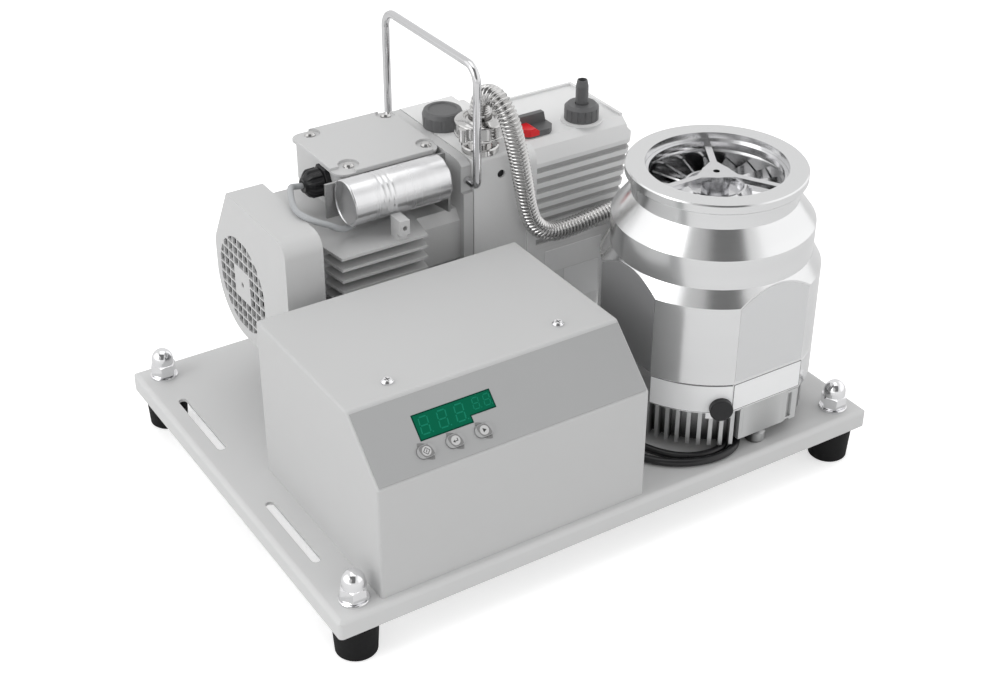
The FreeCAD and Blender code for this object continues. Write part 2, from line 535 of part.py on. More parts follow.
def buildControllerInside():
    back = "boxFront + boxDepth"
    left = "boxLeft + (boxWidth - supplyLength) / 2"
    deck = block("SupplyDeck", "supplyLength", "supplyDepth", "2", left, "boxFront + 60", "plateTop + supplyLift")
    core = block("SupplyCore", "coreSide", "coreSide", "coreHeight", f"{left} + 8", "boxFront + 68",
                 "plateTop + supplyLift + 2")
    winding = cylinder("SupplyWinding", "coreSide * 0.42", "coreSide + 8", f"{left} + 8 + coreSide / 2",
                       "boxFront + 64", "plateTop + supplyLift + 2 + coreHeight / 2", "Y")
    cans = [cylinder("SupplyCan", "9", "32", f"{left} + {70 + 24 * k}", "boxFront + 78", "plateTop + supplyLift + 2")
            for k in range(2)]
    sink = block("SupplySink", "44", "4", "40", f"{left} + 60", "boxFront + 112", "plateTop + supplyLift + 2")
    posts = [cylinder("SupplyPost", "3", "supplyLift - boxGauge", f"{left} + {a}", f"boxFront + {b}",
                      "plateTop + boxGauge") for a in (6, 104) for b in (66, 116)]
    piece(joined("PowerSupply", deck, core, winding, sink, *cans, *posts), "power_supply")

    x = "boxLeft + inletLeft"
    z = "plateTop + inletHeight - inletTall / 2"
    box = block("InletBody", "inletWidth - 0.4", "inletDepth", "inletTall - 0.4", f"{x} + 0.2", f"{back} - inletDepth",
                f"{z} + 0.2")
    face = block("InletFace", "inletWidth + 5", "inletFace", "inletTall + 5", f"{x} - 2.5", back, f"{z} - 2.5")
    socket = block("InletSocket", "socketWidth", "socketDeep + inletFace", "socketTall",
                   f"{x} + (inletWidth - socketWidth) / 2", f"{back} - socketDeep", f"{z} + 4")
    pins = [block("InletPin", "4", "14", "2", f"{x} + inletWidth / 2 + {shift} - 2", f"{back} - 16",
                  f"{z} + 4 + socketTall / 2 + {rise}") for shift, rise in ((-7, -3), (0, 2), (7, -3))]
    rockerWell = block("RockerWell", "rockerWidth + 2 * rockerFit", "rockerDepth + 8", "rockerTall + 4",
                       f"{x} + (inletWidth - rockerWidth) / 2 - rockerFit", f"{back} + inletFace - rockerDepth - 5",
                       f"{z} + inletTall - rockerTall - 8")
    pivotX = f"{x} + (inletWidth - rockerWidth) / 2 - 2"
    pivotY = f"{back} + inletFace - rockerDepth / 2 - 1"
    pivotZ = f"{z} + inletTall - rockerTall / 2 - 6"
    trunnionHole = cylinder("TrunnionHole", "trunnionRadius + trunnionFit", "rockerWidth + 4.2", pivotX, pivotY,
                            pivotZ, "X")
    shell = cut("InletShell", joined("InletMoulding", box, face), socket, rockerWell, trunnionHole)
    piece(joined("MainsInlet", shell, *pins), "mains_inlet")

    half = "rockerTall / 2"
    profile = [(f"-{half}", "-rockerDepth / 2"), (half, "-rockerDepth / 2"), (half, "rockerDepth / 2 - 0.5"),
               ("0", "rockerDepth / 2 - 1.8"), (f"-{half}", "rockerDepth / 2 - 0.5")]
    body = doc.addObject("PartDesign::Body", "RockerBody")
    sketch = outline(body, "XY_Plane", profile)
    pad = body.newObject("PartDesign::Pad", "RockerPad")
    pad.Profile = sketch
    bind(pad, Length="rockerWidth")
    trunnions = cylinder("RockerTrunnions", "trunnionRadius", "rockerWidth + 3.4", z="-1.7")
    rocker = joined("RockerSolid", body, trunnions)
    doc.recompute()
    stand = Placement(Vector(S.boxLeft + S.inletLeft + (S.inletWidth - S.rockerWidth) / 2,
                             S.boxFront + S.boxDepth + S.inletFace - S.rockerDepth / 2 - 1,
                             S.plateTop + S.inletHeight + S.inletTall / 2 - S.rockerTall / 2 - 6), Rotation())
    upright = Placement(Vector(), Rotation(Vector(0, 0, 1), Vector(0, 1, 0), Vector(1, 0, 0), "ZXY"))
    tilt = Placement(Vector(), Rotation(Vector(1, 0, 0), -S.rockerTilt))
    shape = rocker.Shape.copy()
    turned = Placement(FreeCAD.Matrix(0, 0, 1, 0, 0, 1, 0, 0, -1, 0, 0, 0, 0, 0, 0, 1))
    shape.Placement = stand.multiply(tilt).multiply(turned)
    piece(solid("RockerSwitch", shape), "rocker_switch")


# Turbo pump: envelope with inlet flange, rotor, motor and finned base

def flatTools(name, low, high):
    """Four blocks that mill the vertical flats onto the round body."""
    tools = []
    for k in range(4):
        face = Placement(Vector(S.turboX, S.turboY, 0), spun(k, 4))
        shape = Part.makeBox(30, 100, high - low, Vector(S.flatDistance, -50, low))
        shape.Placement = face
        tools.append(shape)
    return solid(name, Part.makeCompound(tools))


def buildTurboCase():
    profile = [("cavityRadius", "seamHeight"), ("bodyRadius", "seamHeight"), ("bodyRadius", "bodyTop"),
               ("waistRadius", "waistBase"), ("waistRadius", "waistTop"), ("neckRadius", "neckBase"),
               ("neckRadius", "flangeTop - flangeThick"), ("flangeRadius - 0.8", "flangeTop - flangeThick"),
               ("flangeRadius", "flangeTop - flangeThick + 1"), ("flangeRadius", "flangeTop - 1"),
               ("flangeRadius - 0.8", "flangeTop"), ("boreRadius", "flangeTop"),
               ("boreRadius", "flangeTop - stepDepth"), ("boreRadius - boreStep", "flangeTop - stepDepth"),
               ("boreRadius - boreStep", "flangeTop - boreDepth"), ("grooveRadius", "flangeTop - boreDepth"),
               ("grooveRadius", "flangeTop - boreDepth - grooveWidth"),
               ("throatRadius", "flangeTop - boreDepth - grooveWidth"),
               ("throatRadius", "throatBase"), ("cavityRadius", "cavityTop")]
    case = revolved("EnvelopeTurn", profile, "turboX", "turboY")
    piece(cut("TurboEnvelope", case, flatTools("EnvelopeFlats", S.seamHeight - 1, S.flatTop)), "turbo_envelope")

    ring = revolved("RingTurn", [("ringBore", "ringBase"), ("bodyRadius", "ringBase"), ("bodyRadius", "seamHeight - 0.6"),
                                 ("bodyRadius - 0.6", "seamHeight"), ("ringBore", "seamHeight")], "turboX", "turboY")
    angle = math.radians(S.plugAngle)
    outward = Vector(math.cos(angle), math.sin(angle), 0)
    centre = Vector(S.turboX, S.turboY, S.plugHeight)
    deep = centre + outward * (S.bodyRadius - S.plugRoot - 2)
    ventHole = solid("VentHole", Part.makeCylinder(S.plugStem + 0.05, 2 * S.plugRoot, deep, outward))
    portHole = cylinder("PortHole", "portBore", "bodyRadius", "turboX + portOffset", "turboY + 30",
                        "portHeight", "Y")
    skirt = Part.makeCylinder(S.bodyRadius, S.skirtDrop + 1, Vector(0, 0, S.ringBase - S.skirtDrop), Vector(0, 0, 1),
                              13).cut(Part.makeCylinder(S.skirtInner, S.plateTop, Vector(0, 0, S.plateTop)))
    skirt.Placement = Placement(Vector(S.turboX, S.turboY, 0), Rotation(Vector(0, 0, 1), S.plugAngle - 7.4))
    ring = joined("RingForm", ring, solid("RingSkirt", skirt))
    piece(cut("TurboRing", ring, flatTools("RingFlats", S.ringBase - S.skirtDrop - 1, S.seamHeight + 1), ventHole,
              portHole), "turbo_housing_ring")
    knob = Part.makeCylinder(S.plugRadius, S.plugLength, centre + outward * (S.bodyRadius + 0.3), outward)
    knob = knob.makeFillet(1, [edge for edge in knob.Edges if len(edge.Vertexes) == 1 and
                               (edge.CenterOfMass - centre).Length > S.bodyRadius + 0.3 + S.plugLength / 2])
    stem = Part.makeCylinder(S.plugStem, S.plugRoot + 1, centre + outward * (S.bodyRadius - S.plugRoot), outward)
    piece(solid("VentPlug", knob.fuse(stem).removeSplitter()), "vent_plug")

    pipeStart = "turboY + flatDistance"
    port = revolved("PortTurn", [("portBore", "0"), ("portPipe", "0"), ("portPipe", "portLength - kfThick - kfTaper"),
                                 ("kfRadius", "portLength - kfThick"), ("kfRadius", "portLength"),
                                 ("portBore", "portLength")],
                    "turboX + portOffset", pipeStart, "portHeight", "Y")
    piece(port, "backing_port")


def buildTurboBase():
    low = S.plateTop + S.turboLift
    disc = revolved("CastingTurn", [("0", "ringBase - deckThick"),
                                    ("castingRadius - deckThick", "ringBase - deckThick"),
                                    ("castingRadius - deckThick", "plateTop + turboLift"),
                                    ("finRadius", "plateTop + turboLift"), ("finRadius", "ringBase"),
                                    ("0", "ringBase")], "turboX", "turboY")
    left, right = (math.degrees(math.asin(side / S.finRadius)) for side in (S.padLeft, S.padRight))
    spaces = []
    for k in range(int(S.finCount)):
        angle = 360.0 * k / S.finCount
        space = Part.makeBox(12, S.finSpace, S.finTop - low + 1, Vector(S.castingRadius, -S.finSpace / 2, low - 1))
        if -left < angle - 270 < right:
            continue
        space.Placement = Placement(Vector(S.turboX, S.turboY, 0), Rotation(Vector(0, 0, 1), angle))
        spaces.append(space)
    front = S.turboY - S.flatDistance
    pad = Part.makeBox(S.padLeft + S.padRight, S.padDepth, S.ringBase - 0.6 - S.padBase,
                       Vector(S.turboX - S.padLeft, front + 0.2, S.padBase))
    pad = pad.cut(Part.makeBox(S.padSlotWide, 4, S.ringBase - S.padBase - 6,
                               Vector(S.turboX + S.padSlot, front, S.padBase + 3)))
    for shift, width, tall in ((4, 9, 1.6), (15, 5, 2.4), (24, 7, 1.2), (35, 6, 2.6), (43, 5, 1.4)):
        pad = pad.cut(Part.makeBox(width, S.padDepth, tall, Vector(S.turboX - S.padLeft + shift, front, S.padBase)))
    spaces.append(Part.makeBox(S.padLeft + S.padRight, S.padDepth + 12, S.padBase - low + 1,
                               Vector(S.turboX - S.padLeft, front - 12, low - 1)))
    shaftHole = cylinder("DeckHole", "turboShaft + 4", "20", "turboX", "turboY", "ringBase - 10")
    shell = cut("CastingShell", disc, solid("CastingSpaces", Part.makeCompound(spaces)),
                flatTools("CastingFlats", low - 1, S.ringBase + 1), shaftHole,
                cylinder("PlugHole", "plugBody - 1.1", "20", "nestX", "nestY", "ringBase - 10"))
    feet = [revolved("CastingFoot", [("0", "plateTop"), ("footRadius - 1", "plateTop"), ("footRadius", "plateTop + 2"),
                                     ("footRadius", "footCrown - 4"), ("footRadius - 3", "footCrown"),
                                     ("0", "footCrown")],
                     f"turboX + footSpread * {a}", f"turboY + footSpread * {b}")
            for a, b in ((1, 0), (0, 1), (-1, 0), (0, -1))]
    piece(joined("TurboBase", shell, solid("CastingPad", pad), *feet), "turbo_base")


def buildTurboRotor():
    under = "flangeTop - spiderDrop"
    rim = revolved("SpiderRim", [("boreRadius - spiderRim", f"{under} - spiderThick"),
                                 ("boreRadius - spiderFit", f"{under} - spiderThick"),
                                 ("boreRadius - spiderFit", under), ("boreRadius - spiderRim", under)],
                   "turboX", "turboY")
    hub = revolved("SpiderHub", [("pivotHole", f"{under} - pivotDrop"), ("pivotRadius", f"{under} - pivotDrop"),
                                 ("pivotRadius", f"{under} - spiderThick"), ("hubRadius", f"{under} - spiderThick"),
                                 ("hubRadius - 0.6", under), ("pivotHole", under)], "turboX", "turboY")
    arms = []
    for k in range(3):
        arm = Part.makeBox(S.boreRadius - S.hubRadius + 0.5, S.armWidth, S.spiderThick,
                           Vector(S.hubRadius - 2, -S.armWidth / 2, S.flangeTop - S.spiderDrop - S.spiderThick))
        gusset = Part.makeCone(S.armWidth * 1.4, S.armWidth * 0.5, S.hubFlare,
                               Vector(S.hubRadius - 3, 0, S.flangeTop - S.spiderDrop - S.spiderThick / 2),
                               Vector(1, 0, 0))
        slab = Part.makeBox(30, 30, S.spiderThick,
                            Vector(S.hubRadius - 5, -15, S.flangeTop - S.spiderDrop - S.spiderThick))
        shape = arm.fuse(gusset.common(slab))
        shape.Placement = Placement(Vector(S.turboX, S.turboY, 0), Rotation(Vector(0, 0, 1), 60 + 120 * k))
        arms.append(shape)
    armSet = solid("SpiderArms", Part.makeCompound(arms))
    piece(joined("InletSpider", rim, hub, armSet), "inlet_spider")

    profile = [("turboShaft + 0.02", "rotorBase"), ("rotorHub", "rotorBase"), ("rotorHub", "rotorTop - 4"),
               ("cupRadius + 1.5", "rotorTop"), ("cupRadius", "rotorTop"), ("cupFloor", "rotorTop - cupDepth"),
               ("0", "rotorTop - cupDepth"), ("0", "shaftTop + 0.5"), ("turboShaft + 0.02", "shaftTop + 0.5")]
    bell = revolved("RotorBell", profile, "turboX", "turboY")
    doc.recompute()
    blades = []
    ring = Part.makeCylinder(S.bladeTip, S.flangeTop).cut(Part.makeCylinder(S.rotorHub - 1, S.flangeTop))
    for stage in range(int(S.stageCount)):
        height = S.stageTop - stage * S.stageStep
        for k in range(int(S.bladeCount)):
            blade = Part.makeBox(S.bladeTip - S.rotorHub + 4, S.bladeChord, S.bladeThick,
                                 Vector(S.rotorHub - 1, -S.bladeChord / 2, -S.bladeThick / 2))
            blade.Placement = Placement(Vector(0, 0, height), Rotation(Vector(0, 0, 1), 360.0 * k / S.bladeCount)
                                        .multiply(Rotation(Vector(1, 0, 0), S.bladePitch)))
            blades.append(blade.common(ring))
    bladeSet = Part.makeCompound(blades)
    bladeSet.Placement = Placement(Vector(S.turboX, S.turboY, 0), Rotation())
    piece(solid("TurboRotor", bell.Shape.multiFuse(bladeSet.Solids).removeSplitter()), "turbo_rotor")

    piece(cylinder("TurboShaft", "turboShaft", "shaftTop - shaftBase", "turboX", "turboY", "shaftBase"),
          "turbo_shaft")
    race = [("turboShaft + runGap", "ringBase"), ("turboBearing", "ringBase"),
            ("turboBearing", "ringBase + bearingWidth"), ("turboShaft + runGap", "ringBase + bearingWidth")]
    piece(revolved("TurboBearing", race, "turboX", "turboY"), "turbo_bearing")
    coil = [("coilInner", "coilBase"), ("coilOuter", "coilBase"), ("coilOuter + 3", "coilBase + 4"),
            ("coilOuter + 3", "coilTop - 4"), ("coilOuter", "coilTop"), ("coilInner", "coilTop")]
    carrier = cylinder("CoilCarrier", "ringBore - 0.05", "3", "turboX", "turboY", "coilBase - 3")
    bore = cylinder("CoilBore", "coilInner", "10", "turboX", "turboY", "coilBase - 5")
    seatPin = revolved("CoilTurn", coil, "turboX", "turboY")
    piece(joined("TurboCoil", seatPin, cut("CoilDisc", carrier, bore)), "turbo_motor_stator")

    wall = [("stackBore", "stackBase"), ("cavityRadius - 0.1", "stackBase"), ("cavityRadius - 0.1", "stackTop"),
            ("stackBore", "stackTop")]
    discs = []
    for stage in range(int(S.stageCount) - 1):
        height = f"stageTop - stageStep * {stage} - discDrop"
        discs.append(revolved("StatorDisc", [("discBore", f"{height} - discThick / 2"),
                                             ("stackBore + 1", f"{height} - discThick / 2"),
                                             ("stackBore + 1", f"{height} + discThick / 2"),
                                             ("discBore", f"{height} + discThick / 2")], "turboX", "turboY"))
    piece(joined("StatorStack", revolved("StackWall", wall, "turboX", "turboY"), *discs[1:]), "stator_stack")


# Vacuum line: flanges, seals, clamps and the bellows hose

def buildLine():
    inletTop = "blockTop + inletRise + kfThick"
    foot = [("kfBore", "0"), ("inletBase", "0"), ("inletBase", "inletBaseTall - 1"),
            ("inletBase - 1", "inletBaseTall"), ("inletPipe", "inletBaseTall"),
            ("inletPipe", "inletRise - kfTaper"), ("kfRadius", "inletRise"),
            ("kfRadius", "inletRise + kfThick"), ("kfBore", "inletRise + kfThick")]
    piece(revolved("InletPort", foot, "inletX", "inletY", "blockTop"), "inlet_port")

    gasket = revolved("GasketTurn", [("ringInner", "0.1"), ("ringOuter", "0.1"), ("ringOuter", "1"),
                                     ("ringOuter + oringRadius", "0.15"), ("ringOuter + 2 * oringRadius", "1"),
                                     ("ringOuter + 2 * oringRadius", "faceGap - 1"),
                                     ("ringOuter + oringRadius", "faceGap - 0.15"), ("ringOuter", "faceGap - 1"),
                                     ("ringOuter", "faceGap - 0.1"), ("ringInner", "faceGap - 0.1")])
    portEnd = S.turboY + S.flatDistance + S.portLength
    upSpot = Placement(Vector(S.inletX, S.inletY, S.blockTop + S.inletRise + S.kfThick), Rotation())
    backSpot = Placement(Vector(S.turboX + S.portOffset, portEnd, S.portHeight), axisTurns["Y"])
    piece(copies("CentringRings", gasket, [upSpot, backSpot]), "centring_rings")
    end = revolved("HoseEndTurn", [("kfBore - 1", "faceGap"), ("kfRadius", "faceGap"),
                                   ("kfRadius", "faceGap + kfThick"),
                                   ("collarRadius", "faceGap + kfThick + kfTaper"),
                                   ("collarRadius", "faceGap + kfThick + kfTaper + collarLength"),
                                   ("kfBore - 1", "faceGap + kfThick + kfTaper + collarLength")])
    piece(copies("HoseEnds", end, [upSpot, backSpot]), "hose_flanges")

    centre = "(faceGap) / 2"
    low = f"{centre} - clampWidth / 2"
    high = f"{centre} + clampWidth / 2"
    face = "kfRadius + clampFit"
    wedge = [("clampMouth - 1", low), ("clampRadius - 1.5", low), ("clampRadius", f"{low} + 2"),
             ("clampRadius", f"{high} - 2"), ("clampRadius - 1.5", high), ("clampMouth - 1", high),
             (face, f"{centre} + faceGap / 2 + kfThick + 0.3"), (face, f"{centre} - faceGap / 2 - kfThick - 0.3")]
    band = revolved("ClampBand", wedge)
    lugs = block("ClampLugs", "lugLength", "lugThick * 2 + 3", "lugWidth", "clampRadius - 3",
                 "-lugThick - 1.5", f"{centre} - lugWidth / 2")
    gap = block("ClampGap", "clampRadius + lugLength", "3", "clampWidth + 4", "0", "-1.5", f"{low} - 2")
    hinge = cylinder("ClampHinge", "3.4", "lugWidth", "-clampRadius - 1.4", "0", f"{centre} - lugWidth / 2")
    boltX = "clampRadius + lugLength - 8"
    bolt = cylinder("ClampBolt", "boltRadius", "lugThick * 2 + 14", boltX, "-lugThick - 3", centre, "Y")
    clamp = joined("Clamp", cut("ClampSplit", joined("ClampForm", band, lugs, hinge), gap,
                                cylinder("ClampRoom", face, "faceGap", z="0")), bolt)
    turns = (Placement(Vector(), Rotation(Vector(0, 0, 1), 20)), Placement(Vector(), Rotation(Vector(0, 0, 1), 180)))
    spots = [upSpot.multiply(turns[0]), backSpot.multiply(turns[1])]
    piece(copies("HoseClamps", clamp, spots), "hose_clamps")
    nutBase = "lugThick + 1.6"
    sleeve = revolved("WingSleeve", [("boltRadius + 0.05", "0"), ("boltRadius + 2", "0"), ("boltRadius + 1.4", "6"),
                                     ("boltRadius + 0.05", "6")], boltX, nutBase, centre, "Y")
    wings = block("WingBlades", "wingThick", "wingTall", "wingSpan", f"{boltX} - wingThick / 2", f"{nutBase} + 0.6",
                  f"{centre} - wingSpan / 2")
    notch = cylinder("WingNotch", "wingSpan / 2 - 5.5", "20", f"{boltX} - 10", f"{nutBase} + wingTall + 3", centre,
                     "X")
    boltRoom = cylinder("WingBore", "boltRadius + 0.05", "40", boltX, "0", centre, "Y")
    wing = cut("Wing", joined("WingForm", sleeve, cut("WingShape", wings, notch)), boltRoom)
    piece(copies("WingNuts", wing, spots), "wing_nuts")


def hoseRoute():
    start = S.blockTop + S.inletRise + 2 * S.kfThick + S.faceGap + S.kfTaper + S.collarLength
    back = S.turboY + S.flatDistance + S.portLength + S.faceGap + S.kfThick + S.kfTaper + S.collarLength
    portX = S.turboX + S.portOffset
    return [(S.inletX, S.inletY, start), (S.inletX, S.inletY, 252), (26, 55, 263), (26.5, 42.5, 267.5),
            (27.5, 32.5, 261), (29, 29, 248), (34.5, 29.5, 224), (41, 30, 198), (46.5, 30, 173), (54, 30, 156),
            (68, 29.5, 146.5), (86, 30, 145.5), (106, 30.5, 147), (127, 32, 148), (143, 36, 144.5),
            (portX + 1, 39.5, 133), (portX + 1.5, 41.5, 117), (portX + 0.5, 41, 102), (portX, 34, S.portHeight),
            (portX, back, S.portHeight)]


def buildHose():
    shape, length, radii = tubeAlong(hoseRoute(), S.hoseRadius)
    print("hose length", round(length, 1), "radii", [round(value, 1) for value in radii],
          "volume ratio", round(shape.Volume / (math.pi * S.hoseRadius ** 2 * length), 4))
    piece(solid("BellowsHose", shape), "bellows_hose")


# Backing pump: block with its rotor, oil box and controls

def buildPumpBlock():
    width = "2 * blockHalf"
    body = prism("BlockPrism", "YZ_Plane", [("pumpY - blockHalf", "pumpBase"), ("pumpY + blockHalf", "pumpBase"),
                                            ("pumpY + blockHalf", "blockTop"), ("pumpY - blockHalf", "blockTop")],
                 "blockLeft", "blockLength")
    length = Vector(1, 0, 0)
    rounded(body, "BlockEdges", "blockEdge", lambda edge: alongAxis(edge, length))
    chamber = cylinder("PumpChamber", "statorRadius", "rotorLength + 2 * endGap", "blockLeft + rotorSetback - endGap",
                       "pumpY", "pumpZ - rotorOffset", "X")
    shaftHole = cylinder("BlockShaftHole", "motorShaft + runGap", "rotorSetback + 1", "blockLeft - 1", "pumpY",
                         "pumpZ", "X")
    hole = cylinder("SideHole", "sideHole", "sideHoleDepth + 1", "blockLeft + sideHoleX", "pumpY - blockHalf - 1",
                    "blockTop - sideHoleDrop", "Y")
    throat = cylinder("InletThroat", "kfBore", "30", "inletX", "inletY", "blockTop - 29")
    filler = cylinder("FillerHole", "fillerStem + 0.2", "fillerDepth + 2", "fillerX", "fillerY",
                      "blockTop - fillerDepth - 1")
    piece(cut("PumpBlock", body, chamber, shaftHole, hole, throat, filler), "pump_block")

    rotorLeft = "blockLeft + rotorSetback"
    disc = cylinder("RotorDisc", "rotorRadius", "rotorLength", rotorLeft, "pumpY", "pumpZ", "X")
    slots = [block("VaneSlot", "rotorLength + 2", "vaneDepth", "vaneThick + 2 * vaneFit", f"{rotorLeft} - 1",
                   f"pumpY + {place}", "pumpZ - vaneThick / 2 - vaneFit")
             for place in ("rotorRadius - vaneDepth + 1", "(-rotorRadius - 1)")]
    rotorBore = cylinder("RotorBore", "stubRadius", "rotorLength + 2", f"{rotorLeft} - 1", "pumpY", "pumpZ", "X")
    piece(cut("PumpRotor", disc, *slots, rotorBore), "pump_rotor")
    vane = block("Vane", "rotorLength", "vaneDepth - 1.3", "vaneThick", rotorLeft, "pumpY + rotorRadius - vaneDepth + 1",
                 "pumpZ - vaneThick / 2")
    doc.recompute()
    centre = Placement(Vector(0, S.pumpY, S.pumpZ), Rotation(Vector(1, 0, 0), 180))
    unshift = Placement(Vector(0, -S.pumpY, -S.pumpZ), Rotation())
    piece(copies("Vanes", vane, [Placement(), centre.multiply(unshift)]), "pump_vanes")


def oilSection(name, start, length, inset):
    """Cross-section of the oil box, seen along its length: upright sides and two bevels to a flat top."""
    half = f"(oilHalf - {inset})"
    corners = [(f"pumpY - {half}", "pumpBase"), (f"pumpY + {half}", "pumpBase"), (f"pumpY + {half}", "oilShoulder"),
               (f"pumpY + oilMidHalf - {inset}", "oilMid"), (f"pumpY + oilTopHalf - {inset}", "oilTop"),
               (f"pumpY - oilTopHalf + {inset}", "oilTop"), (f"pumpY - oilMidHalf + {inset}", "oilMid"),
               (f"pumpY - {half}", "oilShoulder")]
    return prism(name, "YZ_Plane", corners, start, length)


def oilProfile(name, inset):
    """Side view of the oil box: its free end leans inwards below the shoulder."""
    left = "blockLeft + blockLength + rimLength"
    right = f"{left} + oilLength - {inset}"
    corners = [(f"{left} - 1", "pumpBase"), (f"{right} - oilTaper", "pumpBase"), (right, "oilShoulder"),
               (right, "oilShoulder + oilEndRise"), (f"{right} - oilEndStep", "oilTop - oilEndDrop"),
               (f"{right} - oilTopInset", "oilTop"), (f"{left} - 1", "oilTop")]
    return prism(name, "XZ_Plane", corners, "pumpY - oilHalf - 1", "2 * oilHalf + 2")


def oilEnd():
    """Block with the free end's corners rounded, leaning like the end up to the shoulder and upright above it."""
    left = S.blockLeft + S.blockLength
    right = left + S.rimLength + S.oilLength
    turn = S.oilEndRound
    tuck = turn * (1 - math.sqrt(0.5))
    sides = []
    for sign in (-1, 1):
        edge = S.pumpY + sign * (S.oilHalf + 0.01)
        sides.append([Vector(left, edge, S.oilShoulder), Vector(right - turn, edge, S.oilShoulder),
                      Vector(right - tuck, edge - sign * tuck, S.oilShoulder),
                      Vector(right, edge - sign * turn, S.oilShoulder)])
    near, far = sides
    rim = Part.Wire([Part.LineSegment(near[0], near[1]).toShape(), Part.Arc(*near[1:]).toShape(),
                     Part.LineSegment(near[3], far[3]).toShape(), Part.Arc(*far[:0:-1]).toShape(),
                     Part.LineSegment(far[1], far[0]).toShape(), Part.LineSegment(far[0], near[0]).toShape()])
    face = Part.Face(rim)
    lower = face.extrude(Vector(-S.oilTaper, 0, S.pumpBase - S.oilShoulder))
    upper = face.extrude(Vector(0, 0, S.oilTop - S.oilShoulder + 1))
    return solid("OilEnd", lower.fuse(upper).removeSplitter())


def buildOilBox():
    left = "blockLeft + blockLength"
    start = f"{left} + rimLength"
    rim = prism("OilRim", "YZ_Plane", [("pumpY - rimHalf", "pumpBase"), ("pumpY + rimHalf", "pumpBase"),
                                       ("pumpY + rimHalf", "rimTop"), ("pumpY - rimHalf", "rimTop")], left, "rimLength")
    length = Vector(1, 0, 0)
    rounded(rim, "RimCorners", "rimCorner",
            lambda edge: alongAxis(edge, length) and middle(edge).z > S.pumpBase + 1)
    outer = common("OilOuter", common("OilSides", oilSection("OilOuterSection", start, "oilLength", "0"),
                                      oilProfile("OilOuterSide", "0")), oilEnd())
    inner = common("OilInner", oilSection("OilInnerSection", start, "oilLength - grooveDepth", "grooveDepth"),
                   oilProfile("OilInnerSide", "grooveDepth"))
    slabs = [block("OilGroove", "oilLength + 10", "2 * oilHalf + 10", "grooveHeight", f"{start} + 5",
                   "pumpY - oilHalf - 5", f"ribTop - grooveHeight - ribPitch * {k}") for k in range(int(S.ribCount))]
    grooves = cut("OilGrooves", group("OilSlabs", slabs), inner)
    ribbed = cut("OilRibbed", outer, grooves)
    boss = cylinder("NozzleBoss", "nozzleBoss", "nozzleBossTall", "nozzleX", "nozzleY", "oilTop")
    body = joined("OilBody", rim, ribbed, boss)
    outletHole = cylinder("OutletHole", "outletStem + 0.1", "outletDepth + 4", "nozzleX", "nozzleY",
                          "oilTop - outletDepth")
    leverHole = cylinder("LeverHole", "spindleRadius + runGap", "spindleDepth + 2", "leverX", "leverY",
                         "oilTop - spindleDepth - 1")
    sightAxis, sightSpot = sightPlace()
    sightHole = solid("SightHole", Part.makeCylinder(S.sightRadius + 0.1, 20, sightSpot - sightAxis * S.sightSink,
                                                     sightAxis))
    sump = common("OilSump", oilProfile("OilSumpSide", "oilWall"),
                  block("OilSumpLimit", "oilLength + rimLength", "2 * (oilHalf - oilWall)",
                        "oilTop - oilRoof - pumpBase - oilWall", left, "pumpY - oilHalf + oilWall",
                        "pumpBase + oilWall"))
    piece(cut("OilBox", body, sump, outletHole, leverHole, sightHole), "oil_box")


def sightPlace():
    rise = S.oilShoulder - S.pumpBase
    slant = math.atan2(S.oilTaper, rise)
    axis = Vector(math.cos(slant), 0, -math.sin(slant))
    right = S.blockLeft + S.blockLength + S.rimLength + S.oilLength
    reach = right - S.oilTaper * (S.oilShoulder - S.sightHeight) / rise
    return axis, Vector(reach, S.pumpY, S.sightHeight)


